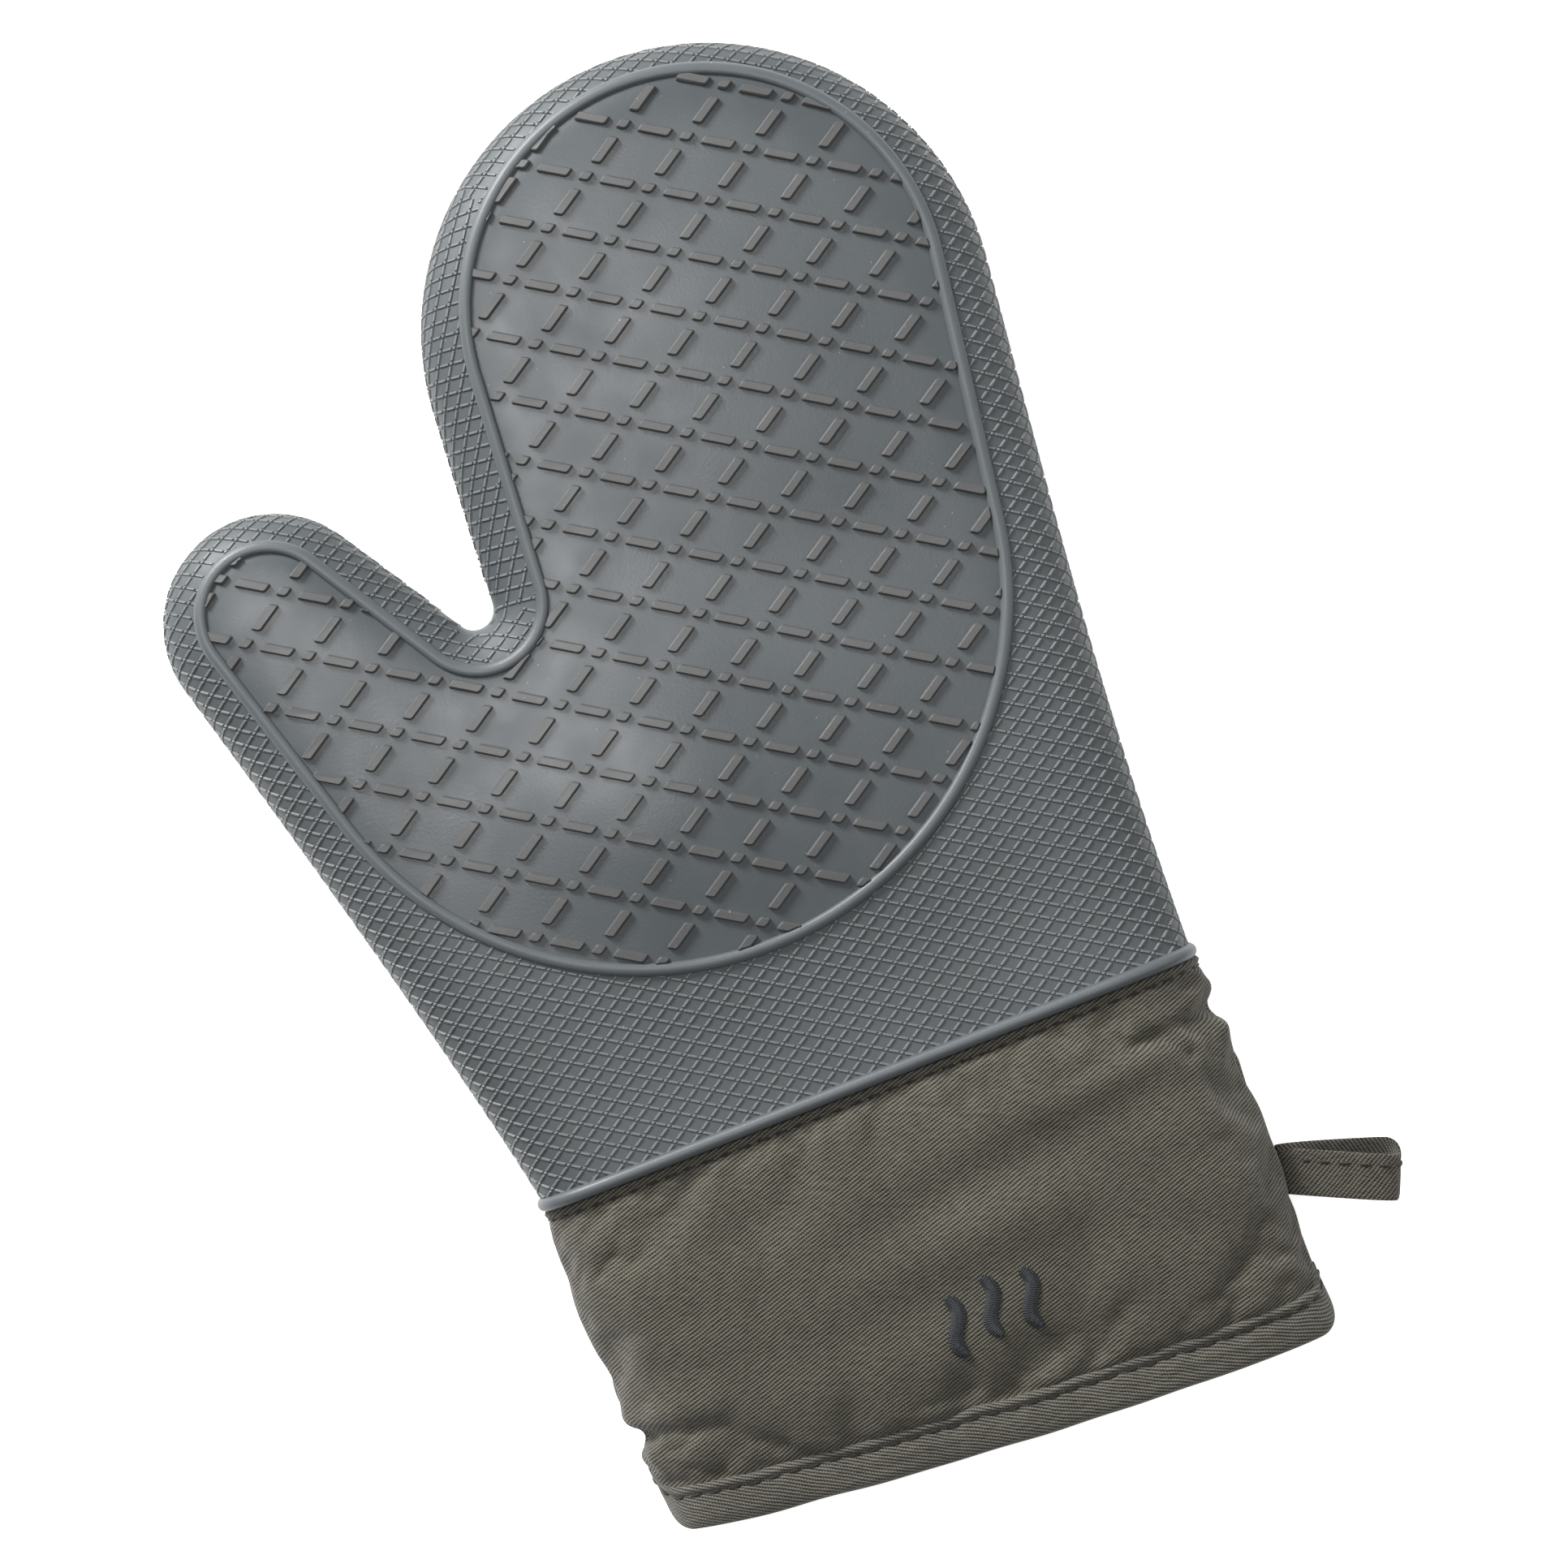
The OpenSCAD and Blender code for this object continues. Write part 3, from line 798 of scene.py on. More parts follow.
def eased(polygon, cut):
    """A polygon with its corners cut off."""
    ends = []
    for other in (np.roll(polygon, 1, axis=0), np.roll(polygon, -1, axis=0)):
        run = other - polygon
        share = np.minimum(cut / np.maximum(np.linalg.norm(run, axis=1, keepdims=True), 1e-9), 0.3)
        ends.append(polygon + run * share)
    return np.stack(ends, 1).reshape(-1, 2)


def make_grip_marks():
    sixth = np.linalg.norm(GRIP_A) / 6
    marks = marks_of(1.0, 20, (1.5 * sixth, 0.5 * sixth), 0.52 * sixth)
    e, _ = PANEL_EDGE.near(marks.mean(1))
    shown = {}
    for mark in marks[e > -MARK_REACH]:
        cut = clipped(mark)
        if cut is not None and polygon_area(cut) > SMALLEST_MARK:
            cut = eased(eased(cut, 0.4), 0.13)
            shown.setdefault(len(cut), []).append(cut)
    for side, height, label in ((1, 1.2, "grip"), (-1, 0.85, "back")):
        levels = ((-0.12, -0.15), (0.0, height * 0.25), (0.06, height * 0.66), (0.34, height))
        verts, faces, uv, keys = [], [], [], []
        base = 0
        for group in shown.values():
            group = np.array(group)
            v, f, t, owner = prisms(group, levels, lambda plan, lift: face_point(plan, side, lift))
            verts.append(v)
            uv.append(t)
            faces += [[i + base for i in face] for face in f]
            keys.append(group.mean(1)[owner])
            base += len(v)
        hand_pieces(f"{label}_bars", np.vstack(verts), turned_over(faces, side), np.vstack(uv),
                    SILICONE_BARS, keys=np.vstack(keys), smooth=False)


def pulled_in(marks, side):
    """Marks with the corners that would pass the moulding's parting line moved back to it."""
    flat = marks.reshape(-1, 2)
    e, n = HAND_EDGE.near(flat)
    past = np.maximum(PARTING_LINE - along_face(e, side), 0)
    return (flat + n * past[:, None]).reshape(marks.shape)


def in_turned_patch(q):
    """The texture is turned along the fingers' thumb side, as if it was laid in patches."""
    _, inward = HAND_EDGE.near(q)
    return (q[:, 1] > PATCH_LOW_Y) & (q[:, 0] < 0) & ~on_thumb(q) & (inward[:, 0] > PATCH_FACING)


def make_fine_texture():
    """The same pattern at a quarter of the size, all over the silicone outside the panels."""
    straight_marks = marks_of(FINE_SCALE, 70, FINE_BAR, FINE_DOT)
    c, s = math.cos(PATCH_TURN), math.sin(PATCH_TURN)
    turned_marks = (straight_marks - DOME[:2]) @ np.array([[c, s], [-s, c]]) + DOME[:2]
    marks = np.concatenate([m[in_turned_patch(m.mean(1)) == turned]
                            for m, turned in ((straight_marks, False), (turned_marks, True))])
    marks = marks[PANEL_EDGE.near(marks.mean(1))[0] < -PAST_BEAD]
    middles = marks.mean(1)
    for side, label in ((1, "grip"), (-1, "back")):
        place, s = wrapped_point(middles, side)
        kept = (s > PARTING_LINE) & (place[:, 1] > WRIST_Y + PAST_WRIST)
        wide = middles[:, None] + 1.6 * (marks - middles[:, None])
        corners, _ = wrapped_point(wide.reshape(-1, 2), side)
        spread = np.linalg.norm(corners.reshape(len(marks), -1, 3) - place[:, None], axis=2)
        kept &= spread.max(1) < MOST_SPREAD
        verts, faces, uv, owner = prisms(pulled_in(marks[kept], side), FINE_LEVELS,
                                         lambda plan, lift: wrapped_point(plan, side, lift)[0])
        # These marks are coloured lighter than the skin, partly as painted highlight on their ridges.
        hand_pieces(f"{label}_fine_texture", verts, turned_over(faces, side), uv, SILICONE_FINE_TONE_AND_HIGHLIGHT,
                    keys=place[kept][owner][:, :2], smooth=False)


def flat_ring(ends, halves, shoulder, squareness, count):
    """A closed flattened ring in X and Z, as points and outward normals. It starts at its
    right end and goes over the top."""
    left, right = ends
    over, under = halves
    e = (right - left) / 2 * np.linspace(0, 1, 500) ** 3
    rise = (1 - (1 - np.clip(e, 0, shoulder) / shoulder) ** squareness) ** (1 / squareness)
    parts = [np.column_stack([right - e, MID_Z + over * rise]),
             np.column_stack([left + e, MID_Z + over * rise])[::-1],
             np.column_stack([left + e, MID_Z - under * rise]),
             np.column_stack([right - e, MID_Z - under * rise])[::-1]]
    closed = np.vstack([parts[0]] + [p[1:] for p in parts[1:]])
    length = lengths(closed)
    p = on_line(closed, length, np.arange(count) * length[-1] / count)
    t = np.roll(p, -1, 0) - np.roll(p, 1, 0)
    return p, unit(np.stack([t[:, 1], -t[:, 0]], -1))


def make_wrist_bead():
    count, sides = 300, 14
    p, n = flat_ring(WRIST_ENDS, (TOP_HALF, BACK_HALF), SHOULDER, SQUARENESS, count)
    around = np.arange(count) * 1.2  # millimetres between the ring's points
    verts, uv = [], []
    for t in np.linspace(0, 2 * math.pi, sides, endpoint=False):
        at = p + n * (0.05 + WRIST_BEAD_R * math.cos(t))
        y = np.full(count, WRIST_BEAD_Y + WRIST_BEAD_R * math.sin(t))
        verts.append(np.column_stack([at[:, 0], y, at[:, 1]]))
        uv.append(np.column_stack([around, np.full(count, t)]))
    faces = grid_faces(sides, count, flip=True, round_rows=True)
    obj = new_piece("wrist_bead", np.vstack(verts), faces, SILICONE_BEAD, np.vstack(uv))
    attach(obj, "palm")


make_panel_beads()
make_grip_marks()
make_fine_texture()
make_wrist_bead()


# ---- Cuff ----
CUFF_HALF_W, CUFF_HALF_H = 80.0, 12.0
CUFF_SHOULDER, CUFF_SQUARENESS = 22.0, 2.3
MOUTH_SLANT, MOUTH_CORNER = 12.0, 5.0
COVER_WALL = 4.0
COLUMNS, REFINE = 124, 3
STITCH_Y, ROLL_Y = 88.5, 89.9  # the wrist's stitches, and the rolled seam above them
BIND_STITCH = 8.1
TUCK, TUCK_Y, TUCK_RUN = 2.9, 90.2, 2.2  # how far the cuff's end goes in, above which height, over what
# Each seam: from stitch to stitch, a stitch's length, the thread's radius
WRIST_SEAM, BINDING_SEAM, LOOP_SEAM = (4.5, 3.1, 0.36), (4.7, 3.3, 0.38), (4.7, 3.2, 0.34)
# Rows of the cuff's grid, from the wrist to the mouth. A row lies at share * mouth + height.
UPPER_ROWS = [(0.0, y) for y in (95.0, 92.4, 90.4, STITCH_Y, 86.0)]
LOWER_ROWS = [(1.0, y) for y in (12.0, 9.5, 7.0, 4.0, 1.5)]
MIDDLE_ROWS = [(t, 86.0 * (1 - t) + 12.0 * t) for t in np.linspace(0, 1, 26)[1:-1]]
CUFF_ROWS = UPPER_ROWS + MIDDLE_ROWS + LOWER_ROWS
STITCH_ROW = UPPER_ROWS.index((0.0, STITCH_Y))


def bell(v, middle, width):
    return np.exp(-((v - middle) / width) ** 2)


def mouth_edge(x):
    """How far the mouth's edge is from the lowest point of the mouth."""
    x = np.asarray(x, float)
    slant = MOUTH_SLANT * np.clip((CUFF_HALF_W - x) / (2 * CUFF_HALF_W), 0, 1) ** 1.8
    over = np.clip(np.abs(x) - (CUFF_HALF_W - MOUTH_CORNER), 0, MOUTH_CORNER)
    return slant + MOUTH_CORNER - np.sqrt(MOUTH_CORNER ** 2 - over ** 2)


def cuff_ring(count):
    return flat_ring((-CUFF_HALF_W, CUFF_HALF_W), (CUFF_HALF_H, CUFF_HALF_H),
                     CUFF_SHOULDER, CUFF_SQUARENESS, count)


def side_shift(p):
    """The cuff's two side edges aren't straight: they bulge, and are nipped in at two creases."""
    x, y = p[..., 0], p[..., 1]
    left = 1.5 * bell(y, 64, 24) - 2.2 * bell(y, 34.5, 2.4) - 1.4 * bell(y, 17, 10)
    right = 0.5 * bell(y, 52, 20) - 1.7 * bell(y, 78.3, 3.0) - 0.9 * bell(y, 16, 12)
    share = np.clip(np.abs(x) / CUFF_HALF_W, 0, 1.1) ** 6
    moved = p.copy()
    moved[..., 0] = x + share * np.where(x < 0, -left, right)
    return moved


def waves(seed, count, shortest, longest, stretch=1.0):
    """A smooth random surface of a given grain, the same on each run."""
    rng = np.random.default_rng(seed)
    heading = rng.uniform(0, math.pi, count)
    length = np.exp(rng.uniform(math.log(shortest), math.log(longest), count))
    phase = rng.uniform(0, 2 * math.pi, count)

    def height(x, y):
        total = 0
        for h, w, f in zip(heading, length, phase):
            total = total + np.sin(2 * math.pi * (x * math.cos(h) / stretch + y * math.sin(h)) / w + f)
        return total / math.sqrt(count)
    return height


RUMPLE = waves(11, 12, 14, 46, 2.3)
PUCKER = waves(5, 5, 6.5, 15)
# Folds of the cover, top and back: from x, y (where they are deepest) to x, y, half width, depth
TOP_FOLDS = ((79, 78.5, 40, 76.5, 2.2, 1.5), (80, 62, 50, 66, 5.0, 1.0), (19, 10, 33, 22, 2.4, 1.9),
             (33, 22, 42, 25, 3.5, 0.8), (-33, 21, -29, 28, 3.6, 1.3), (-81, 35, -60, 33.5, 2.2, 1.6),
             (-58, 57, -34, 52, 6.0, 1.0), (44, 54, 72, 48, 6.5, 1.0), (-76, 74, -30, 69, 4.5, 0.9),
             (-8, 14, -2, 26, 2.8, 1.0), (58, 14, 64, 27, 3.2, 1.0), (-62, 22, -56, 33, 3.0, 1.0),
             (30, 64, -24, 58, 6.0, 0.8), (76, 30, 48, 37, 4.5, 0.9), (-78, 50, -52, 45, 4.5, 0.8))
BACK_FOLDS = ((78, 70, 52, 66, 2.4, 0.9), (-79, 52, -52, 56, 3.0, 0.9), (-20, 12, -30, 26, 2.4, 0.9),
              (25, 14, 31, 30, 2.8, 0.8), (-10, 60, 30, 55, 6.0, 0.6))


def fold_depth(x, y, folds):
    total = 0
    for x0, y0, x1, y1, width, depth in folds:
        run = np.array([x1 - x0, y1 - y0], float)
        size = np.linalg.norm(run)
        run /= size
        along = (x - x0) * run[0] + (y - y0) * run[1]
        across = -(x - x0) * run[1] + (y - y0) * run[0]
        fade = bell(np.maximum(np.maximum(-along, along - size), 0), 0, 2.0 * width)
        taper = 0.35 + 0.65 * np.clip(1 - along / size, 0, 1)
        banks = bell(np.abs(across), 2.3 * width, 1.2 * width)
        total = total - depth * taper * fade * (bell(across, 0, width) - 0.45 * banks)
    return total


def cover_relief(p):
    """How far the cover stands out at its points, beyond its simulated form."""
    x, y = p[..., 0], p[..., 1]
    top = p[..., 2] > MID_Z
    above = y - mouth_edge(np.clip(x, -CUFF_HALF_W, CUFF_HALF_W))
    # Nothing of this reaches the two sewn lines, and the side seams lie in a shallow groove.
    body = np.clip((above - 9.0) / 4, 0, 1) * np.clip((STITCH_Y - 0.6 - y) / 4, 0, 1)
    edge = np.clip(np.abs(x) / CUFF_HALF_W, 0, 1) ** 8
    groove = 0.9 * edge * bell(p[..., 2], MID_Z, 1.1)
    soft = 0.7 * RUMPLE(x, y + np.where(top, 0, 300)) * (1 - 0.5 * edge)
    crown = np.where(top, 2.2, 0.6) * (1 - ((y - 47) / 40) ** 2) * (1 - edge)
    # Puckers, which die away from the wrist's seam and from the binding
    gather = 0.55 * PUCKER(x + np.where(top, 0, 90), 0.2 * y) * np.exp(-np.clip(STITCH_Y - y, 0, 90) / 10)
    pinch = 0.42 * PUCKER(0.9 * x + 40, 0.3 * y) * np.exp(-np.clip(above - 10, 0, 90) / 8)
    folds = np.where(top, fold_depth(x, y, TOP_FOLDS), fold_depth(x, y, BACK_FOLDS))
    # The thread pulls a line in, and the seam above it is rolled like a rope.
    sewn = -0.55 * bell(y, STITCH_Y, 0.75)
    rope = (0.34 + 0.13 * np.sin(2 * math.pi * (x + 0.8 * y) / 2.4)) * bell(y, ROLL_Y, 0.8)
    return body * (soft + crown + gather + pinch + folds - groove) + sewn + rope


def interpolated(grid, factor, wrap):
    """Points between the rows of a grid, on smooth curves through them."""
    n = len(grid)
    at = np.arange(n * factor if wrap else (n - 1) * factor + 1) / factor
    k = np.floor(at).astype(int)
    t = (at - k)[:, None, None]
    a, b, c, d = (grid[(k + j) % n] if wrap else grid[np.clip(k + j, 0, n - 1)] for j in (-1, 0, 1, 2))
    square, cube = 2 * a - 5 * b + 4 * c - d, 3 * b - a - 3 * c + d
    return 0.5 * (2 * b + (c - a) * t + square * t ** 2 + cube * t ** 3)


def finer(grid, factor):
    """A cuff's grid with more rows and more columns."""
    taller = interpolated(grid, factor, False)
    return interpolated(taller.transpose(1, 0, 2), factor, True).transpose(1, 0, 2)


def grid_normals(grid):
    """Outward normals of a grid whose rows run from wrist to mouth and whose columns go round."""
    down = np.gradient(grid, axis=0)
    round_ = np.roll(grid, -1, axis=1) - np.roll(grid, 1, axis=1)
    return unit(np.cross(round_, down))


def ended(ring):
    """A ring's points with the first one again at the end."""
    return np.vstack([ring, ring[:1]])


def bridge(first, second, cols, flip=False):
    faces = [[first + c, second + c, second + (c + 1) % cols, first + (c + 1) % cols] for c in range(cols)]
    return [f[::-1] for f in faces] if flip else faces


def closed_wall(outer, inner):
    """The wall between two grids, closed at the wrist and the mouth: vertices and faces."""
    rows, cols = outer.shape[:2]
    count, last = rows * cols, (rows - 1) * cols
    faces = grid_faces(rows, cols) + grid_faces(rows, cols, count, True)
    faces += bridge(0, count, cols) + bridge(last, count + last, cols, True)
    return np.vstack([outer.reshape(-1, 3), inner.reshape(-1, 3)]), faces


def grid_uv(grid, quads):
    """A UV per face corner: round the cuff and along it, in millimetres, with no jump at the end."""
    rows, cols = grid.shape[:2]
    step = np.linalg.norm(np.roll(grid, -1, axis=1) - grid, axis=2).mean(0)
    u = np.concatenate([[0], np.cumsum(step)])
    corners = np.array(quads)
    c = corners % cols
    wrap = (c.max(1) == cols - 1) & (c.min(1) == 0)
    uu = u[np.where(wrap[:, None] & (c == 0), cols, c)]
    vv = grid[..., 1].reshape(-1)[corners % (rows * cols)]
    return np.stack([-uu, vv], -1).reshape(-1, 2)


SIM_FRAMES = 20
MOST_SWELL = 3.0  # the padding can't swell further than this


def simulated(outer, inner):
    """The outer face of the padded wall after a cloth simulation has inflated it. The wall is
    pinned along its seams."""
    rows, cols = outer.shape[:2]
    count = rows * cols
    verts, faces = closed_wall(outer, inner)
    mesh = bpy.data.meshes.new("cuff_sim")
    mesh.from_pydata((verts * MM).tolist(), [], faces)
    obj = placed("cuff_sim", mesh)
    seam = (0, 1, cols // 2 - 1, cols // 2, cols // 2 + 1, cols - 1)
    held = [r * cols + c + base for base in (0, count) for r in range(rows) for c in range(cols)
            if r < len(UPPER_ROWS) - 1 or r > rows - len(LOWER_ROWS) or (c in seam and base == 0)]
    obj.vertex_groups.new(name="held").add(held, 1.0, "REPLACE")
    cloth = obj.modifiers.new("Cloth", "CLOTH")
    s = cloth.settings
    s.quality, s.mass = 6, 0.25
    s.tension_stiffness = s.compression_stiffness = 12
    s.shear_stiffness, s.bending_stiffness = 5, 2.5
    s.use_pressure, s.uniform_pressure_force = True, 4
    s.shrink_min = -0.028
    s.vertex_group_mass = "held"
    s.effector_weights.gravity = 0
    cloth.collision_settings.use_collision = False
    cloth.point_cache.frame_start, cloth.point_cache.frame_end = 1, SIM_FRAMES
    scene = bpy.context.scene
    for f in range(1, SIM_FRAMES + 1):
        scene.frame_set(f)
    shaped = obj.evaluated_get(bpy.context.evaluated_depsgraph_get()).to_mesh()
    moved = np.zeros(len(verts) * 3)
    shaped.vertices.foreach_get("co", moved)
    moved = (moved.reshape(-1, 3) / MM - verts)[:count]
    scene.frame_set(1)
    bpy.data.objects.remove(obj)
    size = np.linalg.norm(moved, axis=1, keepdims=True)
    moved *= MOST_SWELL * np.tanh(size / MOST_SWELL) / np.maximum(size, 1e-9)
    return (verts[:count] + moved).reshape(outer.shape)


def bend_with_cuff(obj):
    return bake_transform(obj)


def cuff_base(depth):
    """The cuff's grid before it is simulated, a given depth below its outer face. Its end in the
    silicone hand is tucked in."""
    p, n = cuff_ring(COLUMNS)
    grid = np.zeros((len(CUFF_ROWS), COLUMNS, 3))
    for r, (share, height) in enumerate(CUFF_ROWS):
        y = share * mouth_edge(p[:, 0]) + height
        tuck = TUCK * np.clip((y - TUCK_Y) / TUCK_RUN, 0, 1)
        at = p - n * (depth + tuck)[:, None]
        grid[r] = np.column_stack([at[:, 0], y, at[:, 1]])
    return grid


def make_cuff():
    """The padded cover with its seam at the wrist. Gives the grid of its outer face."""
    outer, inner = cuff_base(0.0), cuff_base(COVER_WALL)
    outer = simulated(outer, inner)
    outer, inner = finer(outer, REFINE), side_shift(finer(inner, REFINE))
    outer = side_shift(outer + grid_normals(outer) * cover_relief(outer)[..., None])
    verts, faces = closed_wall(outer, inner)
    cover = new_piece("cuff_cover", verts, faces, CUFF_TWILL, grid_uv(outer, faces))
    bend_with_cuff(cover)
    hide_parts("cuff_cover_upper", "cuff_cover_lower", "cuff_wadding_upper", "cuff_wadding_lower")

    line, up = (ended(grid[REFINE * STITCH_ROW]) for grid in (outer, grid_normals(outer)))
    verts, faces, uv = stitches(line, up, *WRIST_SEAM)
    sewn = new_piece("wrist_seam_stitches", verts, faces, SEAM_THREAD, uv)
    bend_with_cuff(sewn)
    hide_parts("wrist_stitching")
    return outer


def make_cuff_lining():
    """The cuff's lining, one thin cloth tube from the binding into the hand."""
    grid = finer(cuff_base(COVER_WALL + 0.25), 2)
    x, y = grid[..., 0], grid[..., 1]
    sag = 0.35 + 0.35 * RUMPLE(x + 50, y + 120)
    grid = side_shift(grid - grid_normals(grid) * np.clip(sag, 0, 2)[..., None])
    verts, faces = closed_wall(grid, grid - grid_normals(grid) * 0.7)
    lining = new_piece("cuff_lining", verts, faces, LINING, grid_uv(grid, faces))
    bend_with_cuff(lining)
    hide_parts("cuff_lining_upper", "cuff_lining_lower")


# The binding's section, from its sewn edge outside, round the mouth, to its edge inside:
# height above the mouth's edge, and depth below the cover's outer face
BINDING = ((10.3, 0.35), (10.5, -0.45), (10.1, -1.15), (9.4, -1.35), (8.8, -1.05), (BIND_STITCH, -0.45),
           (7.3, -0.95), (6.2, -1.15), (4.4, -1.2), (2.6, -1.15), (1.2, -0.8), (0.3, -0.1), (-0.05, 1.0),
           (-0.1, 2.4), (0.1, 3.7), (0.8, 4.8), (2.2, 5.5), (4.5, 5.7), (6.8, 5.5), (BIND_STITCH, 5.0),
           (9.2, 5.6), (9.9, 5.4), (10.1, 4.7))


def binding_at(p, n, height, depth):
    """Points of the binding round the whole mouth at one place of its section."""
    x = p[:, 0]
    side = np.where(p[:, 1] > MID_Z, 0.0, 37.0)  # other puckers on the back
    tug = PUCKER(0.95 * x + 40 + side, 0.0)
    out = 0.22 * tug * bell(height, BIND_STITCH, 3.5) + 0.16 * RUMPLE(2.2 * x + side, 6.0 * height)
    calm = 1 - 0.75 * np.clip(np.abs(x) / CUFF_HALF_W, 0, 1) ** 14
    wall = -(depth - (out if depth < 2 else 0.0) - 0.12)
    wall = np.where(wall > 0, wall * calm, wall)
    y = mouth_edge(x) + height + 0.22 * tug * np.clip(height / 10, 0, 1) + 0.12 * RUMPLE(3 * x, side)
    at = p + n * wall[:, None]
    return side_shift(np.column_stack([at[:, 0], y, np.maximum(at[:, 1], 0.05)]))


def make_binding():
    cols = 560
    p, n = cuff_ring(cols)
    section = interpolated(np.array(BINDING)[:, None, :], 3, False)[:, 0]
    grid = np.stack([binding_at(p, n, height, depth) for height, depth in section])
    faces = grid_faces(len(grid), cols)
    uv = grid_uv(grid, faces)
    uv[:, 1] = -lengths(section)[np.array(faces).reshape(-1) // cols]
    band = new_piece("cuff_binding_band", grid.reshape(-1, 3), faces, BINDING_TWILL, uv)
    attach(band, "cuff")
    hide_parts("cuff_binding")
    up = ended(np.column_stack([n[:, 0], np.zeros(cols), n[:, 1]]))
    outside, inside = (stitches(ended(binding_at(p, n, BIND_STITCH, depth)), way * up, *BINDING_SEAM)
                       for depth, way in ((-0.5, 1), (5.05, -1)))
    verts, uv = (np.vstack([outside[k], inside[k]]) for k in (0, 2))
    faces = outside[1] + [[v + len(outside[0]) for v in f] for f in inside[1]]
    sewn = new_piece("binding_seam_stitches", verts, faces, SEAM_THREAD, uv)
    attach(sewn, "cuff")
    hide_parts("binding_stitching")


# ---- Hanging loop ----
LOOP_ROOT, LOOP_HEADING, LOOP_Z = np.array([84.0, 36.0]), math.radians(-23.0), 11.0
LOOP_START, LOOP_REACH, LOOP_BULGE = -6.0, 23.0, 4.3
LOOP_AHEAD, LOOP_LEFT = ahead_of(LOOP_HEADING), left_of(LOOP_HEADING)
TAPE_W, TAPE_T = 10.7, 1.1
TAPE_STITCH = 2.7  # the stitches' distance from the tape's middle
TAPE_POINTS, TAPE_SIDES = 121, 28
# The lower layer lies a little beside the upper one, and tilted.
LAYER_SHIFT, LAYER_TILT = (-1.0, 3.9), 0.55


def loop_centre(t):
    """How far out and how high the tape's middle is: t from 0 to 1 goes out on the upper layer
    and back on the lower."""
    reach = LOOP_REACH - LOOP_START
    rise = np.sin(2 * math.pi * t) * (0.35 + 0.65 * np.sin(math.pi * t) ** 2) ** 0.6
    return np.stack([LOOP_START + reach * np.sin(math.pi * t) ** 0.85, LOOP_Z + LOOP_BULGE * rise], -1)


def loop_line(t, across, out):
    """Points of the tape, across from its middle line and out from its middle face."""
    way = unit(loop_centre(np.clip(t + 1e-3, 0, 1)) - loop_centre(np.clip(t - 1e-3, 0, 1)))
    length, z = (loop_centre(t) + out * np.stack([-way[..., 1], way[..., 0]], -1)).T
    lower = np.clip((t - 0.42) / 0.25, 0, 1)
    lower = lower ** 2 * (3 - 2 * lower)
    bow = np.sin(math.pi * np.clip(t, 0, 1)) ** 0.5
    side = across + (LAYER_SHIFT[0] + LAYER_SHIFT[1] * lower) * bow
    plan = LOOP_ROOT + length[:, None] * LOOP_AHEAD + side[:, None] * LOOP_LEFT
    return np.column_stack([plan, z + LAYER_TILT * across * lower * bow])


def swing_with_loop(obj):
    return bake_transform(obj)


def make_loop():
    t = np.linspace(0.002, 0.998, TAPE_POINTS)
    verts, sides = [], []
    for turn in np.linspace(0, 2 * math.pi, TAPE_SIDES, endpoint=False):
        c, s = math.cos(turn), math.sin(turn)
        across = TAPE_W / 2 * math.copysign(abs(c) ** 0.35, c)
        out = TAPE_T / 2 * math.copysign(abs(s) ** 0.6, s)
        groove = 0.16 * bell(across, TAPE_STITCH, 0.8) * (1 if s > 0 else -1)
        verts.append(loop_line(t, across, out - groove))
        sides.append(across + (30 if s < 0 else 0))
    length = lengths(verts[0])
    uv = np.vstack([np.column_stack([length, np.full(TAPE_POINTS, side)]) for side in sides])
    faces = grid_faces(TAPE_SIDES, TAPE_POINTS, flip=True, round_rows=True, round_cols=False)
    starts = [k * TAPE_POINTS for k in range(TAPE_SIDES)]
    faces += [starts[::-1], [v + TAPE_POINTS - 1 for v in starts]]
    tape = new_piece("loop_tape", np.vstack(verts), faces, TAPE_TWILL, uv)
    swing_with_loop(tape)
    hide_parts("hanging_loop")

    at = np.linspace(0.06, 0.94, 200)
    line, above = (loop_line(at, TAPE_STITCH, TAPE_T / 2 + out) for out in (-0.1, 0.9))
    verts, faces, uv = stitches(line, above - line, *LOOP_SEAM)
    sewn = new_piece("loop_stitches", verts, faces, SEAM_THREAD, uv)
    swing_with_loop(sewn)
    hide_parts("loop_stitching")


# ---- Embroidered motif: three plain steam lines in satin stitch ----
MOTIF_MIDDLE, MOTIF_PITCH = (7.0, 35.0), 9.0
MOTIF_LENGTH, MOTIF_WIDTH, MOTIF_WAVE = 14.0, 3.1, 1.5
MOTIF_STEP = 1.5  # how much lower the outer lines sit
SATIN_PITCH = 0.42
SATIN_RADII = (0.2, 0.25, 0.26, 0.26, 0.25, 0.2)


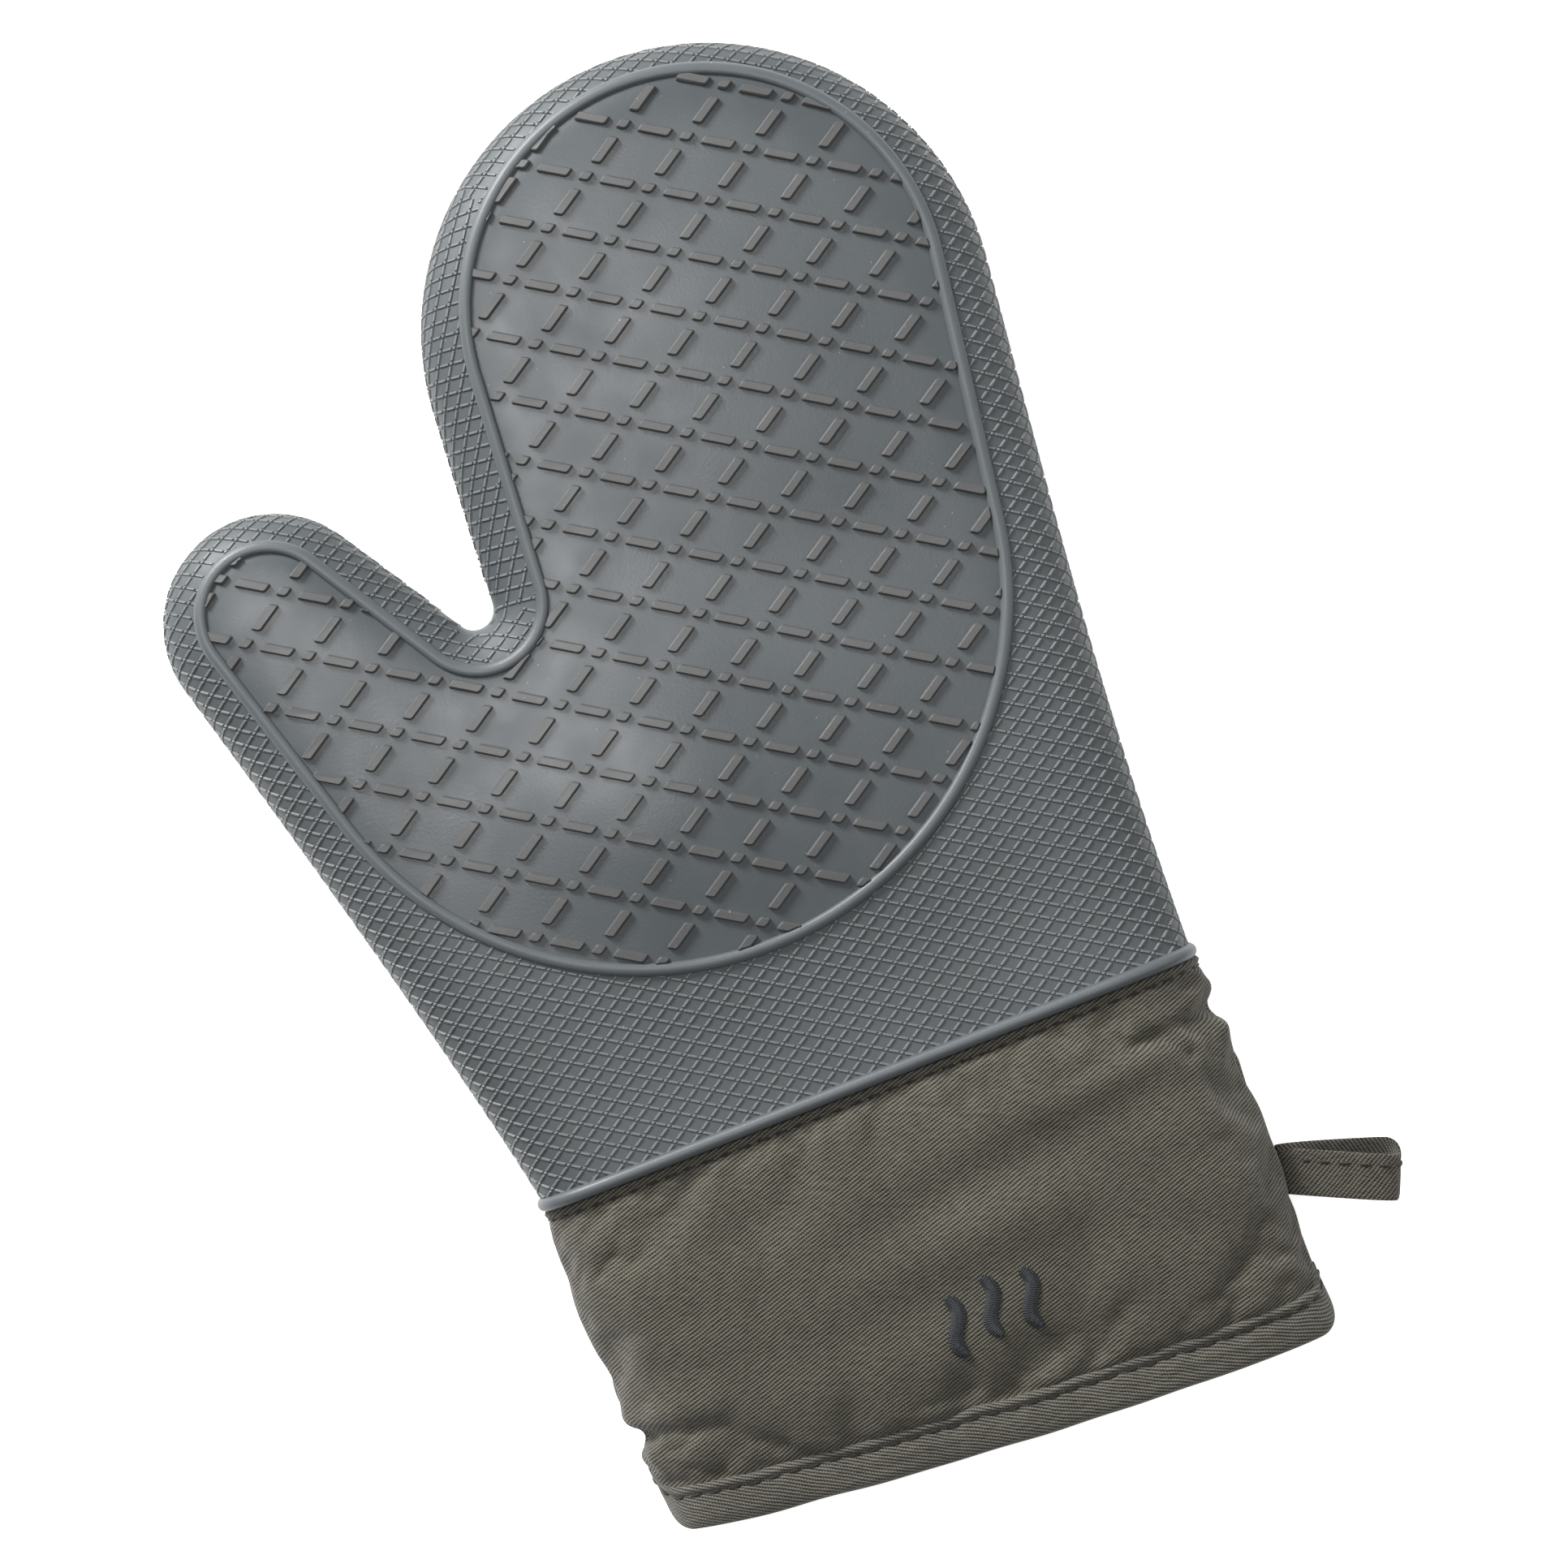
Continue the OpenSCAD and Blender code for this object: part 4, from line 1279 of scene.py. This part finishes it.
def make_embroidery(outer):
    top = outer.reshape(-1, 3)
    top = top[top[:, 2] > MID_Z]
    tree = tree_of(top)

    def cloth_height(q):
        near = tree.find_n((q[0], q[1], 0), 4)
        weight = np.array([1 / (d + 0.05) for _, _, d in near])
        return float((weight * [top[i][2] for _, i, _ in near]).sum() / weight.sum())

    paths = []
    for k in (-1, 0, 1):
        for s in np.arange(-MOTIF_LENGTH / 2, MOTIF_LENGTH / 2, SATIN_PITCH):
            turn = 2 * math.pi * s / MOTIF_LENGTH
            middle = np.array([MOTIF_MIDDLE[0] + MOTIF_PITCH * k + MOTIF_WAVE * math.sin(turn),
                               MOTIF_MIDDLE[1] - MOTIF_STEP * abs(k) + s])
            slope = MOTIF_WAVE * math.cos(turn) * 2 * math.pi / MOTIF_LENGTH
            across = np.array([1.0, -slope]) / math.hypot(1, slope)
            half = MOTIF_WIDTH / 2 * (1 - abs(2 * s / MOTIF_LENGTH) ** 5) ** 0.5 + 0.15
            ends = [(middle + across * half * u, 0.9 * (1 - u * u) ** 0.4 - 0.2)
                    for u in (-1, -0.8, -0.3, 0.3, 0.8, 1)]
            paths.append([[*q, cloth_height(q) + lift] for q, lift in ends])
    ups = np.tile([0.0, 0.0, 1.0], (len(paths), 1))
    verts, faces, uv = tubes(paths, ups, SATIN_RADII)
    motif = new_piece("embroidered_steam_lines", verts, faces, EMBROIDERY, uv)
    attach(motif, "cuff")
    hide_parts("embroidered_motif")


cover_grid = make_cuff()
make_cuff_lining()
make_binding()
make_loop()
make_embroidery(cover_grid)


# ---- Stage ----
FLOOR_HALF, FLOOR_Z = 3.0, -0.0004  # metres, as is the lamps' size
# Each lamp: name, place, size, power in watts
LAMPS = (("key", (-540, 1470, 760), 0.5, 41.0),
         ("soft", (-300, 560, 1900), 0.6, 10.5),
         ("fill", (1000, 30, 950), 1.2, 4.5))
LAMPS_AIM = (0, 170, 10)


def make_floor():
    mesh = bpy.data.meshes.new("floor")
    corners = [(x * FLOOR_HALF, y * FLOOR_HALF, FLOOR_Z) for x, y in ((-1, -1), (1, -1), (1, 1), (-1, 1))]
    mesh.from_pydata(corners, [], [(0, 1, 2, 3)])
    mesh.uv_layers.new(name="UVMap")
    floor = placed("floor", mesh)
    n = Nodes("floor_paper")
    tint = n.mix(n.fit(n.noise(60.0, 3.0), 0, 1, 0.3, 0.7), linear(246, 246, 246), linear(250, 250, 250))
    mesh.materials.append(n.finish(
        tint, 0.9, Specular_IOR_Level=0.1, Emission_Color=(1, 1, 1, 1), Emission_Strength=0.78))


def make_light():
    world = bpy.data.worlds.new("studio")
    world.use_nodes = True
    background = world.node_tree.nodes["Background"]
    background.inputs["Color"].default_value = (1, 1, 1, 1)
    background.inputs["Strength"].default_value = 0.18
    bpy.context.scene.world = world
    for name, place, size, power in LAMPS:
        data = bpy.data.lights.new(name, "AREA")
        data.shape, data.size, data.energy = "SQUARE", size, power
        lamp = placed(name, data)
        lamp.location = row(place)
        aim = Vector(row(LAMPS_AIM)) - lamp.location
        lamp.rotation_euler = aim.to_track_quat("-Z", "Y").to_euler()
    bpy.context.scene.view_settings.view_transform = "Standard"


make_floor()
make_light()
